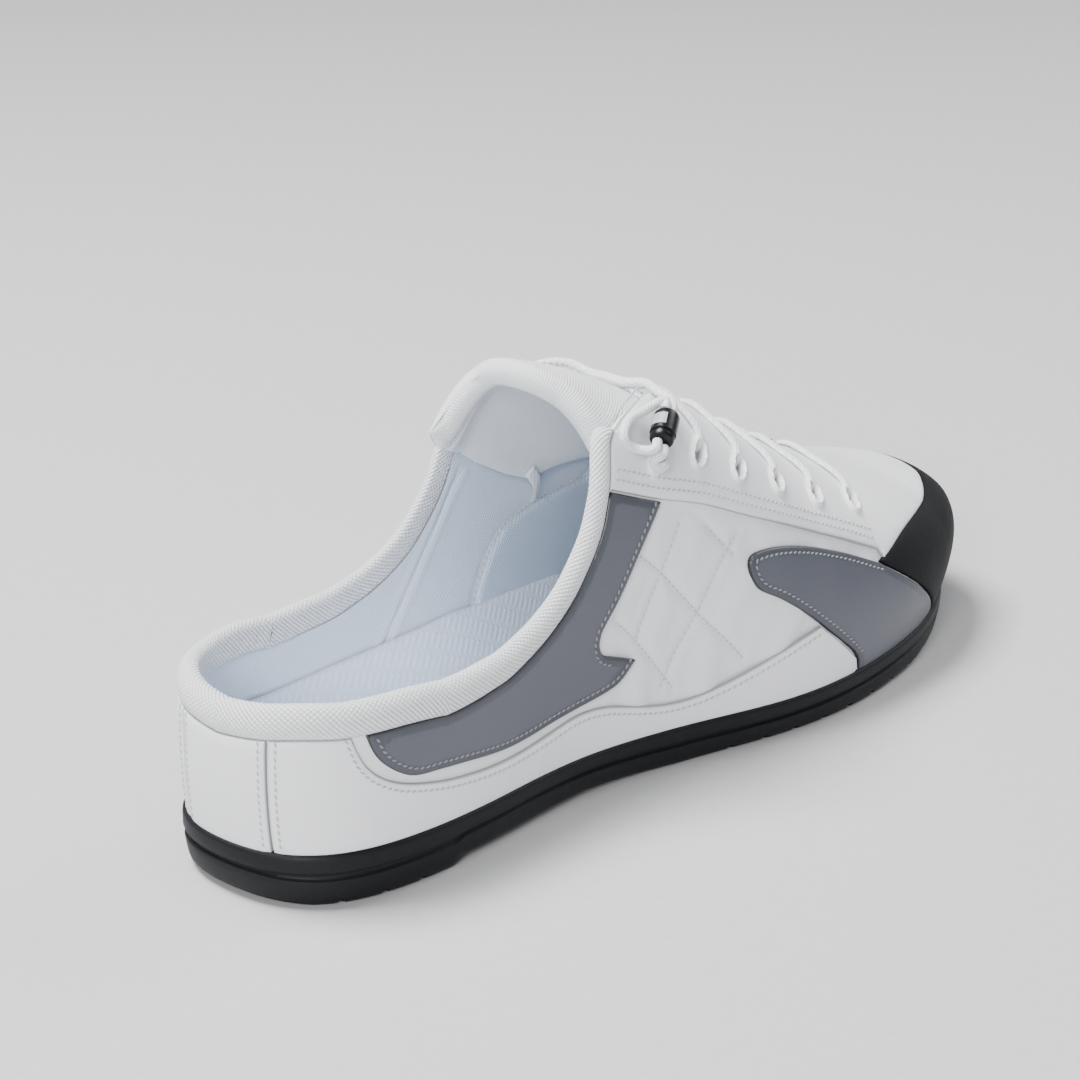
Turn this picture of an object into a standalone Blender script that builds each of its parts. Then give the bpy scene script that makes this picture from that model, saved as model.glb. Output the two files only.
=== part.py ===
"""Sneaker mule, right shoe: low heel collar, padded tongue, elastic lace with a lock, black cupped sole.

Metres, +Z up, toe along +Y, +X is the wearer's right (the lateral side). The origin is under the
middle of the shoe, on the floor. Inside this file the lengths run from the heel (y = 0) and every
finished mesh is moved back by the middle of the shoe.
"""
import bmesh
import bpy
import numpy as np

for old in list(bpy.data.objects):
    bpy.data.objects.remove(old)

# Driving sizes of the last and the sole
LENGTH = 0.286
BALL_WIDTH = 0.100
HEEL_WIDTH = 0.069
INSTEP_HEIGHT = 0.119
TOE_HEIGHT = 0.0468
SOLE_AT_HEEL = 0.0147
SOLE_AT_BALL = 0.0109
SOLE_AT_TOE = 0.0178
TOE_SPRING = 0.0070
ARCH_LIFT = 0.0020
TIP_TO_MEDIAL = 0.006
RIDGE_TO_MEDIAL = 0.005

# Walls, gaps and layers
WALL = 0.0020
CLEARANCE = 0.0003
OVERLAY = 0.0010
SEAM = 0.0005
FEATHER_INSET = 0.0022
INSOLE_THICK = 0.0040
INSOLE_PLAY = 0.0008

# Collar band, tongue, lacing
BAND_HEEL_HEIGHT = 0.0085
BAND_FRONT_HEIGHT = 0.0055
BAND_PROUD = 0.0012
BAND_LINING = 0.0020
TONGUE_THICK = 0.0032
TONGUE_ROLL = 0.0072
TONGUE_PLAY = 0.0012
TONGUE_ROLL_LENGTH = 0.0150
LACE = 0.0026
LACE_FLAT = 0.0017
BAR_SLOPE = 0.45
EYELET_LENGTH = 0.0105
EYELET_WIDTH = 0.0056
EYELET_RIM = 0.0011
LOCK_RADIUS = 0.0035

# Tread
TREAD_PITCH = 0.0110
TREAD_CUT = 0.0022
TREAD_DEPTH = 0.0016
BACKSTAY_WIDTH = 0.0280

# How finely the forms are faceted
HEEL_STEPS = 6
TOE_STEPS = 7
UP_STEPS = 7
TONGUE_HALF_STEPS = 7
COLLAR_FRONT = 1.325

HALF_WIDTHS = {"heel": HEEL_WIDTH / 2, "ball": BALL_WIDTH / 2}
HEIGHTS = {"instep": INSTEP_HEIGHT, "toe box": TOE_HEIGHT, "heel": SOLE_AT_HEEL, "ball": SOLE_AT_BALL,
           "toe": SOLE_AT_TOE, "spring": TOE_SPRING, "arch": ARCH_LIFT, "floor": 0.0}

# Outline of the sole: along (share of length), out (share of the half width that is named)
LATERAL_SIDE = [
    (0.0105, 0.46, "heel"), (0.049, 0.81, "heel"), (0.122, 0.99, "heel"), (0.227, 1.01, "heel"),
    (0.350, 0.965, "heel"), (0.472, 0.77, "ball"), (0.577, 0.93, "ball"), (0.664, 0.995, "ball"),
    (0.752, 0.97, "ball"), (0.839, 0.86, "ball"), (0.920, 0.62, "ball"), (0.976, 0.30, "ball")]
MEDIAL_SIDE = [
    (0.0105, 0.46, "heel"), (0.049, 0.80, "heel"), (0.122, 0.975, "heel"), (0.227, 0.93, "heel"),
    (0.350, 0.82, "heel"), (0.455, 0.62, "ball"), (0.560, 0.74, "ball"), (0.664, 0.91, "ball"),
    (0.752, 0.995, "ball"), (0.839, 0.95, "ball"), (0.925, 0.73, "ball"), (0.979, 0.41, "ball")]

# Heights along the shoe: along (share of length), up (share of the height that is named)
RIDGE = [
    (0.157, 0.992, "instep"), (0.280, 1.000, "instep"), (0.374, 0.975, "instep"), (0.4545, 0.905, "instep"),
    (0.559, 0.775, "instep"), (0.650, 0.643, "instep"), (0.692, 0.590, "instep"), (0.734, 0.544, "instep"),
    (0.801, 0.479, "instep"), (0.871, 1.048, "toe box"), (0.895, 1.000, "toe box"), (1.000, 0.790, "toe box")]
SOLE_TOP = [
    (0.00, 1.00, "heel"), (0.25, 0.95, "heel"), (0.45, 1.08, "ball"), (0.60, 1.00, "ball"),
    (0.80, 1.12, "ball"), (0.92, 0.86, "toe"), (1.00, 1.00, "toe")]
SOLE_BOTTOM = [
    (0.000, 0.17, "spring"), (0.035, 0.0, "floor"), (0.166, 0.0, "floor"), (0.176, 1.0, "arch"),
    (0.350, 1.0, "arch"), (0.460, 0.0, "floor"), (0.700, 0.0, "floor"), (0.800, 0.17, "spring"),
    (0.900, 0.52, "spring"), (1.000, 1.0, "spring")]

# Places round the shoe run from 0 (heel back) by 1 (heel side) and 2 (toe side) to 3 (toe tip)
HEEL_AXIS = 0.157
TOE_AXIS = 0.895

# Form of a rib: round, swell (share of ball width), shoulder (share of rise), crown (share of run)
RIB_FORM = [
    (0.00, 0.060, 0.45, 0.72), (1.00, 0.050, 0.50, 0.74), (1.15, 0.042, 0.60, 0.84), (1.30, 0.034, 0.72, 0.95),
    (1.42, 0.030, 0.68, 0.88), (1.55, 0.030, 0.62, 0.74), (1.68, 0.045, 0.57, 0.63), (1.80, 0.075, 0.58, 0.58),
    (2.00, 0.135, 0.72, 0.60), (2.50, 0.170, 0.79, 0.65), (3.00, 0.165, 0.83, 0.68)]

# Upper edge of the shell: round, up (share of a rib's curve); 1 closes the throat
SHELL_EDGE = [
    (0.00, 0.198), (0.18, 0.203), (0.33, 0.207), (0.50, 0.202), (0.73, 0.199), (0.964, 0.189), (1.058, 0.182),
    (1.094, 0.182), (1.157, 0.197), (1.192, 0.213), (1.231, 0.243), (1.261, 0.284), (1.288, 0.341),
    (1.308, 0.430), (1.325, 0.545), (1.354, 0.611), (1.394, 0.684), (1.458, 0.790), (1.53, 0.850),
    (1.60, 0.875), (1.75, 0.890), (1.87, 0.920), (1.92, 1.000), (3.00, 1.000)]

# Lines on the upper's side: round, up
EYESTAY_LOWER = [(1.306, 0.425), (1.395, 0.416), (1.462, 0.426), (1.539, 0.428), (1.684, 0.430), (1.795, 0.370)]
TOE_CAP_UPPER = [(1.790, 0.326), (1.823, 0.362), (1.874, 0.420), (1.954, 0.487), (2.080, 0.530), (2.300, 0.560)]
TOE_CAP_LOWER = [(1.790, 0.322), (1.841, 0.242), (1.896, 0.134), (1.935, 0.020)]
PATCH_UPPER = [(1.527, 0.305), (1.551, 0.341), (1.599, 0.369), (1.671, 0.381), (1.731, 0.360), (1.787, 0.319)]
PATCH_LOWER = [(1.535, 0.253), (1.566, 0.231), (1.607, 0.200), (1.642, 0.160), (1.680, 0.106), (1.715, 0.042)]
FOXING_UPPER = [
    (0.517, 0.201), (0.566, 0.149), (0.676, 0.109), (0.866, 0.083), (1.095, 0.052), (1.211, 0.056),
    (1.267, 0.058), (1.370, 0.039), (1.448, 0.041), (1.539, 0.082), (1.632, 0.149)]
TRIM_LOWER = [
    (0.570, 0.203), (0.610, 0.162), (0.677, 0.131), (0.791, 0.105), (0.958, 0.097), (1.094, 0.072),
    (1.191, 0.069), (1.284, 0.074), (1.318, 0.087), (1.341, 0.115)]
TRIM_FRONT = [(1.300, 0.125), (1.282, 0.138), (1.279, 0.158), (1.299, 0.191), (1.334, 0.260), (1.373, 0.356), (1.388, 0.396)]

# Eyelets: round and up of the lower and the upper end of each ring
EYELETS = [
    (1.383, 0.472, 1.411, 0.568), (1.462, 0.515, 1.498, 0.630), (1.535, 0.515, 1.571, 0.635),
    (1.614, 0.525, 1.650, 0.645), (1.698, 0.519, 1.734, 0.641), (1.783, 0.500, 1.818, 0.633)]

# Lock and free lace: round, up, height over the upper's face (m); the far side of the crest has a minus
LOCK_ENDS = [(1.384, 0.550, 0.0067), (1.415, 0.634, 0.0063)]
NEAR_END = [(1.371, 0.502, 0.0052), (1.381, 0.487, 0.0045), (1.395, 0.497, 0.0042)]
LOOP = [(1.357, 0.529, 0.0034), (1.339, 0.556, 0.0030), (1.350, 0.594, 0.0030), (1.385, 0.642, 0.0036)]
OVER_CREST = [
    (1.455, 0.765, 0.0034), (1.470, 0.84, 0.0020), (1.480, 0.92, -0.0006), (1.482, 1.0, -0.0011), (-1.480, 0.92, -0.0006),
    (-1.470, 0.84, 0.0020), (-1.450, 0.76, 0.0034), (-1.415, 0.61, 0.0048), (-1.397, 0.520, 0.0042)]

# Free ends of the tongue: its half width round its curve at the roll and at the vamp, where it starts and ends
TONGUE_TOP_HALF = 0.0380
TONGUE_TIP_HALF = 0.0200
TONGUE_TOP_AT = 0.364
TONGUE_TIP_AT = 0.850


def material(name, colour, roughness, metallic=0.0):
    """A plain surface of one colour."""
    mat = bpy.data.materials.new(name)
    mat.use_nodes = True
    shader = mat.node_tree.nodes["Principled BSDF"]
    shader.inputs["Base Color"].default_value = (*colour, 1.0)
    shader.inputs["Roughness"].default_value = roughness
    shader.inputs["Metallic"].default_value = metallic
    return mat


WHITE_LEATHER = ((0.80, 0.81, 0.83), 0.42)
GREY_LEATHER = ((0.16, 0.165, 0.19), 0.40)
BLACK_LEATHER = ((0.012, 0.013, 0.018), 0.55)
BLACK_RUBBER = ((0.014, 0.015, 0.018), 0.70)
WHITE_KNIT = ((0.82, 0.83, 0.85), 0.90)
WHITE_LINING = ((0.72, 0.76, 0.82), 0.95)
WHITE_LACE = ((0.85, 0.86, 0.88), 0.85)
BLACK_PLASTIC = ((0.010, 0.010, 0.011), 0.35)


def spline(knots, values, where, closed=False):
    """A smooth cubic through the values; a closed one goes round without a break."""
    knots, values = np.asarray(knots, float), np.asarray(values, float)
    where = np.atleast_1d(np.asarray(where, float))
    count = len(knots)
    step = np.diff(knots)
    rise = np.diff(values, axis=0) / step[:, None]
    matrix = np.zeros((count, count))
    right = np.zeros(values.shape)
    for i in range(1, count - 1):
        matrix[i, i - 1:i + 2] = step[i - 1], 2 * (step[i - 1] + step[i]), step[i]
        right[i] = 6 * (rise[i] - rise[i - 1])
    if closed:
        matrix[0, [0, 1, count - 2]] = 2 * (step[0] + step[-1]), step[0], step[-1]
        right[0] = 6 * (rise[0] - rise[-1])
        matrix[-1, [0, -1]] = 1, -1
    else:
        matrix[0, 0] = matrix[-1, -1] = 1
    bend = np.linalg.solve(matrix, right)
    i = np.clip(np.searchsorted(knots, where, side="right") - 1, 0, count - 2)
    span, after = step[i][:, None], (where - knots[i])[:, None]
    before = span - after
    curved = (bend[i] * before ** 3 + bend[i + 1] * after ** 3) / (6 * span)
    left = (values[i] / span - bend[i] * span / 6) * before
    return curved + left + (values[i + 1] / span - bend[i + 1] * span / 6) * after


def steady(knots, values, where):
    """A cubic through the values that never swings past them."""
    knots, values = np.asarray(knots, float), np.asarray(values, float)
    step = np.diff(knots)
    rise = np.diff(values) / step
    slope = np.concatenate([[rise[0]], np.zeros(len(knots) - 2), [rise[-1]]])
    for i in range(1, len(knots) - 1):
        if rise[i - 1] * rise[i] > 0:
            near, far = 2 * step[i] + step[i - 1], step[i] + 2 * step[i - 1]
            slope[i] = (near + far) / (near / rise[i - 1] + far / rise[i])
    i = np.clip(np.searchsorted(knots, where, side="right") - 1, 0, len(knots) - 2)
    t = (np.asarray(where, float) - knots[i]) / step[i]
    ends = (1 + 2 * t) * (1 - t) ** 2 * values[i] + t * t * (3 - 2 * t) * values[i + 1]
    return ends + step[i] * (t * (1 - t) ** 2 * slope[i] + t * t * (t - 1) * slope[i + 1])


def profile(table):
    """Knots and heights in metres of a table of heights."""
    return [row[0] * LENGTH for row in table], [row[1] * HEIGHTS[row[2]] for row in table]


RIDGE_LINE = profile(RIDGE)
SOLE_TOP_LINE = profile(SOLE_TOP)
SOLE_BOTTOM_LINE = profile(SOLE_BOTTOM)


def ridge_height(y):
    return float(spline(RIDGE_LINE[0], np.array(RIDGE_LINE[1])[:, None], y)[0, 0])


def sole_top(y):
    return float(steady(*SOLE_TOP_LINE, y))


def sole_bottom(y):
    return float(np.interp(y, *SOLE_BOTTOM_LINE))


def outline(inset, count=1800):
    """The sole's edge seen from above, drawn in by the inset, as a closed loop of points."""
    points = [(0.0, 0.0)]
    points += [(out * HALF_WIDTHS[width], along * LENGTH) for along, out, width in LATERAL_SIDE]
    points += [(-TIP_TO_MEDIAL, LENGTH)]
    points += [(-out * HALF_WIDTHS[width], along * LENGTH) for along, out, width in reversed(MEDIAL_SIDE)]
    points = np.array(points + [(0.0, 0.0)])
    chords = np.sqrt(np.linalg.norm(np.diff(points, axis=0), axis=1))
    knots = np.concatenate([[0], np.cumsum(chords)])
    loop = spline(knots, points, np.linspace(0, knots[-1], count + 1), closed=True)[:-1]
    along = np.roll(loop, -1, 0) - np.roll(loop, 1, 0)
    outward = np.column_stack([along[:, 1], -along[:, 0]])
    return loop - outward / np.linalg.norm(outward, axis=1)[:, None] * inset


EDGE = outline(0.0)
FEATHER = outline(FEATHER_INSET)


def footing(place, loop):
    """Where the rib at a place stands on the loop, and the point of the ridge that it leans to."""
    side, place = (1 if place >= 0 else -1), abs(place)
    share = min(max(place - 1, 0), 1)
    angle = np.pi / 2 * (min(place, 1) - 1 + max(place - 2, 0))
    axis = np.array([-RIDGE_TO_MEDIAL * share, (HEEL_AXIS + (TOE_AXIS - HEEL_AXIS) * share) * LENGTH])
    aim = np.array([np.cos(angle) * side, np.sin(angle)])
    rel = loop - axis
    off = rel[:, 0] * aim[1] - rel[:, 1] * aim[0]
    after = np.roll(off, -1)
    i = np.where((off * after <= 0) & (rel @ aim > 0))[0][0]
    share = off[i] / (off[i] - after[i])
    return loop[i] + (loop[(i + 1) % len(loop)] - loop[i]) * share, axis


def rib(place, shares):
    """Points of the upper's outer face on one rib, from the feather edge (0) to the ridge (1)."""
    foot, axis = footing(place, FEATHER)
    base, top = sole_top(foot[1]) + CLEARANCE, ridge_height(axis[1])
    form = np.array(RIB_FORM)
    swell, shoulder, crown = (np.interp(abs(place), form[:, 0], form[:, k]) for k in (1, 2, 3))
    run = foot - axis
    tail = 0.0
    if abs(place) > 2:
        dip = (ridge_height(axis[1] + 0.001) - ridge_height(axis[1] - 0.001)) / 0.002
        tail = dip * run[1] * crown
    start = np.array([*foot, base])
    bulge = np.array([*(foot + run / np.linalg.norm(run) * swell * BALL_WIDTH), base + shoulder * (top - base)])
    bend = np.array([*(axis + run * crown), top + tail])
    end = np.array([*axis, top])
    t = np.asarray(shares, float)[:, None]
    return (1 - t) ** 3 * start + 3 * (1 - t) ** 2 * t * bulge + 3 * (1 - t) * t ** 2 * bend + t ** 3 * end


def shell_edge(place):
    """Share of the rib at which the shell ends."""
    rows = np.array(SHELL_EDGE)
    return float(steady(rows[:, 0], rows[:, 1], abs(place)))


def on_upper(place, up, lift=0.0):
    """A point of the upper's outer face, lifted off it along its normal."""
    small = 0.002
    here = rib(place, [up])[0]
    if lift == 0.0:
        return here
    across = rib(place, [min(up + small, 1.0)])[0] - rib(place, [up - small])[0]
    along = rib(place + small, [up])[0] - rib(place - small, [up])[0]
    normal = np.cross(along, across)
    return here + normal / np.linalg.norm(normal) * lift


def places():
    """Stations from the heel back to the toe tip, closer together where the collar meets the throat."""
    heel = np.linspace(0, 1, HEEL_STEPS + 1)[:-1]
    quarter = np.linspace(1, 1.27, 6)
    corner = [1.30, COLLAR_FRONT, 1.36, 1.40]
    instep = np.linspace(1.45, 1.87, 9)
    front = [1.92, 1.96]
    toe = np.linspace(2, 3, TOE_STEPS + 1)
    return np.concatenate([heel, quarter, corner, instep, front, toe])


PLACES = places()


def upper_grid():
    """The upper's outer face as welded triangles: points, faces and the numbers of the lowest points."""
    ring = list(PLACES) + [-p for p in PLACES[-2:0:-1]]
    points, faces, numbers, grid = [], [], {}, []
    for place in ring:
        column = []
        for point in rib(place, np.linspace(0, 1, UP_STEPS + 1) * shell_edge(place)):
            key = tuple(np.round(point, 6))
            if key not in numbers:
                numbers[key] = len(points)
                points.append(point)
            column.append(numbers[key])
        grid.append(column)
    for i, column in enumerate(grid):
        after = grid[(i + 1) % len(grid)]
        for j in range(UP_STEPS):
            for face in ((column[j], after[j], after[j + 1]), (column[j], after[j + 1], column[j + 1])):
                if len(set(face)) == 3:
                    faces.append(face)
    return np.array(points), faces, {column[0] for column in grid}


def normals(points, faces, level):
    """Normals of the points; those on the lowest row stay level."""
    out = np.zeros(points.shape)
    for a, b, c in faces:
        face = np.cross(points[b] - points[a], points[c] - points[a])
        for number in (a, b, c):
            out[number] += face
    for number in level:
        out[number, 2] = 0.0
    return out / np.linalg.norm(out, axis=1)[:, None]


def layer(surface, inner, outer):
    """A closed skin between two offsets of an open surface."""
    points, faces, level = surface
    lift = normals(points, faces, level)
    count = len(points)
    mesh_points = np.concatenate([points + lift * outer, points + lift * inner])
    mesh_faces = list(faces) + [tuple(n + count for n in reversed(face)) for face in faces]
    directed = {(face[k], face[(k + 1) % 3]) for face in faces for k in range(3)}
    for a, b in sorted(directed):
        if (b, a) not in directed:
            mesh_faces += [(b, a, a + count), (b, a + count, b + count)]
    return mesh_points, mesh_faces


def solid(name, points, faces, finish, smooth=True, helper=False):
    """A named object from points measured from the heel."""
    mesh = bpy.data.meshes.new(name)
    mesh.from_pydata([tuple(p) for p in np.asarray(points) - MIDDLE], [], [tuple(int(n) for n in f) for f in faces])
    work = bmesh.new()
    work.from_mesh(mesh)
    bmesh.ops.remove_doubles(work, verts=work.verts, dist=1e-7)
    bmesh.ops.recalc_face_normals(work, faces=work.faces)
    work.to_mesh(mesh)
    work.free()
    if smooth:
        mesh.shade_smooth()
        mesh.set_sharp_from_angle(angle=np.radians(40))
    thing = bpy.data.objects.new(name, mesh)
    bpy.context.collection.objects.link(thing)
    if helper:
        thing.hide_render = True
        thing.display_type = "WIRE"
        return thing
    mesh.materials.append(material(name, *finish))
    return thing


def sweep(sections, closed=False):
    """Points and faces of a tube through equal rings of points, with flat ends unless it is closed."""
    rings, count = len(sections), len(sections[0])
    points = np.concatenate(sections)
    faces = []
    for i in range(rings if closed else rings - 1):
        low, high = i * count, (i + 1) % rings * count
        for j in range(count):
            k = (j + 1) % count
            faces.append((low + j, low + k, high + k, high + j))
    if not closed:
        faces.append(tuple(reversed(range(count))))
        faces.append(tuple((rings - 1) * count + j for j in range(count)))
    return points, faces


def prism(name, shape, near, far):
    """A cutter: a side view outline of (y, z) points, stretched across from near to far."""
    count = len(shape)
    points = [(x, y, z) for x in (near, far) for y, z in shape]
    faces = [tuple(range(count)), tuple(reversed(range(count, 2 * count)))]
    faces += [(j, (j + 1) % count, (j + 1) % count + count, j + count) for j in range(count)]
    return solid(name, points, faces, None, smooth=False, helper=True)


def side_view(table, along=0.0, up=0.0):
    """The (y, z) points of a line on the upper's side, moved by a seam's width."""
    return [(float(p[1]) + along, float(p[2]) + up) for p in (on_upper(*row) for row in table)]


def cut(thing, cutter, operation):
    change = thing.modifiers.new(cutter.name, "BOOLEAN")
    change.operation = operation
    change.solver = "EXACT"
    change.object = cutter


SURFACE = upper_grid()
SKIN = layer(SURFACE, CLEARANCE, CLEARANCE + OVERLAY)
REACH = np.concatenate([SKIN[0][:, :2], EDGE])
MIDDLE = np.array([*(REACH.max(axis=0) + REACH.min(axis=0)) / 2, 0.0])
OVER_TOP = INSTEP_HEIGHT * 1.2
PAST_TOE = LENGTH * 1.1
PAST_SIDE = BALL_WIDTH
UNDER_HEEL = -0.1 * LENGTH


def build_upper():
    points, faces = layer(SURFACE, -WALL, 0.0)
    solid("upper", points, faces, WHITE_LEATHER)


def build_overlay(name, shape, near, far, finish):
    """A piece of the upper's skin inside a side view outline."""
    piece = solid(name, *SKIN, finish)
    cut(piece, prism("cut_" + name, shape, near, far), "INTERSECT")


def build_overlays():
    half_stay = BACKSTAY_WIDTH / 2
    cap_low = side_view(TOE_CAP_LOWER)
    cap_top = side_view(TOE_CAP_UPPER)
    cap = cap_low + [(cap_low[-1][0], 0.0), (PAST_TOE, 0.0), (PAST_TOE, cap_top[-1][1])] + cap_top[::-1]
    build_overlay("toe_cap", cap, -PAST_SIDE, PAST_SIDE, BLACK_LEATHER)

    stay_low = side_view(EYESTAY_LOWER)
    over_cap = side_view(TOE_CAP_UPPER[1:], -SEAM, SEAM)
    front = [(PAST_TOE, over_cap[-1][1]), (PAST_TOE, OVER_TOP), (stay_low[0][0], OVER_TOP)]
    build_overlay("eyestay", stay_low + over_cap + front, -PAST_SIDE, PAST_SIDE, WHITE_LEATHER)

    stay = [(UNDER_HEEL, 0.0), (HEEL_AXIS * LENGTH, 0.0), (HEEL_AXIS * LENGTH, OVER_TOP), (UNDER_HEEL, OVER_TOP)]
    build_overlay("heel_backstay", stay, -half_stay, half_stay, WHITE_LEATHER)

    fox_top = side_view(FOXING_UPPER)
    fox_front = side_view(PATCH_LOWER[3:], -SEAM, -SEAM)
    foxing = [(UNDER_HEEL, 0.0), (UNDER_HEEL, OVER_TOP), (fox_top[0][0], OVER_TOP)] + fox_top + fox_front
    foxing += [(fox_front[-1][0], 0.0)]

    trim_top = side_view(EYESTAY_LOWER[:2], 0.0, -SEAM)
    trim_start = side_view(TRIM_LOWER)
    trim = trim_start + side_view(TRIM_FRONT) + trim_top[::-1]
    trim += [(trim_top[0][0] - SEAM, OVER_TOP), (trim_start[0][0], OVER_TOP)]

    patch_front = side_view(TOE_CAP_LOWER, -SEAM, -SEAM)
    patch_low = side_view(PATCH_LOWER)
    patch = side_view(PATCH_UPPER[:-1]) + patch_front + [(patch_front[-1][0], 0.0), (patch_low[-1][0], 0.0)]
    patch += patch_low[::-1]

    for side, sign in (("lateral", 1), ("medial", -1)):
        inner = sign * (half_stay + SEAM)
        build_overlay("foxing_" + side, foxing, inner, sign * PAST_SIDE, WHITE_LEATHER)
        build_overlay("collar_trim_" + side, trim, inner, sign * PAST_SIDE, GREY_LEATHER)
        build_overlay("toe_patch_" + side, patch, inner, sign * PAST_SIDE, GREY_LEATHER)


def sole_ring(stations, inset, heights):
    """A ring of points at an inset of the sole's edge."""
    loop = outline(inset)
    ring = []
    for place in stations:
        foot = footing(place, loop)[0]
        ring.append((foot[0], foot[1], heights(foot[1])))
    return ring


def capped_rings(rings, half):
    """Rings from top to bottom, with ladder faces across the first and the last one."""
    count = len(rings[0])
    points = [point for ring in rings for point in ring]
    faces = []
    for i in range(len(rings) - 1):
        for j in range(count):
            k = (j + 1) % count
            faces.append((i * count + j, i * count + k, (i + 1) * count + k, (i + 1) * count + j))
    for first, flip in ((0, False), ((len(rings) - 1) * count, True)):
        for j in range(half):
            mate, mate_next = (count - j) % count, count - j - 1
            face = [first + n for n in (j, j + 1, mate_next, mate)]
            face = list(dict.fromkeys(face))
            faces.append(tuple(reversed(face)) if flip else tuple(face))
    return points, faces


def ring_stations(one_side):
    return list(one_side) + [-p for p in one_side[-2:0:-1]]


def build_outsole():
    one_side = np.concatenate([np.linspace(0, 1, 8)[:-1], [1.0, 1.012, 1.026], np.linspace(1.07, 2, 15),
                               np.linspace(2, 3, 9)[1:]])
    stations = ring_stations(one_side)
    # Steps of the sole's side: down (share of its thickness), inset (m)
    steps = [(0.00, 0.0007), (0.06, 0.0), (0.34, 0.0), (0.38, 0.0010), (0.45, 0.0010), (0.49, 0.0006),
             (0.90, 0.0014), (1.00, 0.0034)]
    rings = []
    for down, inset in steps:
        rings.append(sole_ring(stations, inset, lambda y: sole_top(y) + (sole_bottom(y) - sole_top(y)) * down))
    sole = solid("outsole", *capped_rings(rings, len(one_side) - 1), BLACK_RUBBER)
    boxes, faces = [], []
    for start, end in ((0.050, 0.150), (0.520, 0.960)):
        for y in np.arange(start * LENGTH, end * LENGTH, TREAD_PITCH):
            first = len(boxes)
            low, high = sole_bottom(y) - TREAD_DEPTH * 2, sole_bottom(y) + TREAD_DEPTH
            boxes += [(x, v, z) for z in (low, high) for x, v in ((-PAST_SIDE, y), (PAST_SIDE, y),
                                                                (PAST_SIDE, y + TREAD_CUT), (-PAST_SIDE, y + TREAD_CUT))]
            sides = [(k, (k + 1) % 4, (k + 1) % 4 + 4, k + 4) for k in range(4)]
            faces += [tuple(first + n for n in face) for face in [(3, 2, 1, 0), (4, 5, 6, 7)] + sides]
    cut(sole, solid("cut_tread", boxes, faces, None, smooth=False, helper=True), "DIFFERENCE")


def build_insole():
    one_side = np.concatenate([np.linspace(0, 1, 7)[:-1], np.linspace(1, 2, 11), np.linspace(2, 3, 7)[1:]])
    stations = ring_stations(one_side)
    inset = FEATHER_INSET + WALL + INSOLE_PLAY
    rings = []
    # Rounded upper edge of the footbed: up (share of thickness), further inset (m)
    for up, further in ((1.0, 0.0022), (0.8, 0.0006), (0.55, 0.0), (0.0, 0.0)):
        rings.append(sole_ring(stations, inset + further, lambda y: sole_top(y) + CLEARANCE + up * INSOLE_THICK))
    solid("insole", *capped_rings(rings, len(one_side) - 1), WHITE_LINING)


def band_frame(place):
    """A point of the collar edge with the outward and the upward direction there."""
    small = 0.004
    here = rib(place, [shell_edge(place)])[0]
    along = rib(place + small, [shell_edge(place + small)])[0] - rib(place - small, [shell_edge(place - small)])[0]
    out = on_upper(place, shell_edge(place), 0.001) - here
    out /= np.linalg.norm(out)
    along /= np.linalg.norm(along)
    up = np.cross(out, along)
    return here, out, up / np.linalg.norm(up)


def build_collar_band():
    """The knitted band on the collar's edge, thick at the heel and thin where it meets the tongue."""
    one_side = PLACES[PLACES < COLLAR_FRONT]
    sections = []
    for place in np.concatenate([-one_side[::-1], one_side[1:]]):
        share = min(max((abs(place) - 1) / (COLLAR_FRONT - 1), 0), 1)
        tall = BAND_HEEL_HEIGHT + (BAND_FRONT_HEIGHT - BAND_HEEL_HEIGHT) * share
        inner = -WALL - BAND_LINING * (1 - share)
        here, out, up = band_frame(place)
        # Section of the band: up (m or share of its height), out (m)
        shape = [(CLEARANCE, 0.0), (CLEARANCE + 0.0008, BAND_PROUD), (tall * 0.72, BAND_PROUD), (tall * 0.94, -WALL * 0.1),
                 (tall, -WALL * 0.6), (tall * 0.94, inner * 0.8), (tall * 0.70, inner), (CLEARANCE + 0.0012, inner),
                 (CLEARANCE, -WALL)]
        sections.append(np.array([here + up * u + out * o for u, o in shape]))
    solid("collar_band", *sweep(sections), WHITE_KNIT)


def tongue_line(place, half, depth):
    """Points across the tongue at one place along it, under the upper's outer face by the depth."""
    fine = np.linspace(0.15, 1, 171)
    line = []
    for side in (1, -1):
        points = rib(side * place, fine)
        steps = np.linalg.norm(np.diff(points, axis=0), axis=1)
        to_go = np.concatenate([np.cumsum(steps[::-1])[::-1], [0.0]])
        start = np.interp(-half, -to_go, fine)
        ups = np.linspace(start, 1, TONGUE_HALF_STEPS + 1)
        row = [on_upper(side * place, up, -depth) for up in (ups if side > 0 else ups[-2::-1])]
        line += row
    return np.array(line)


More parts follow.
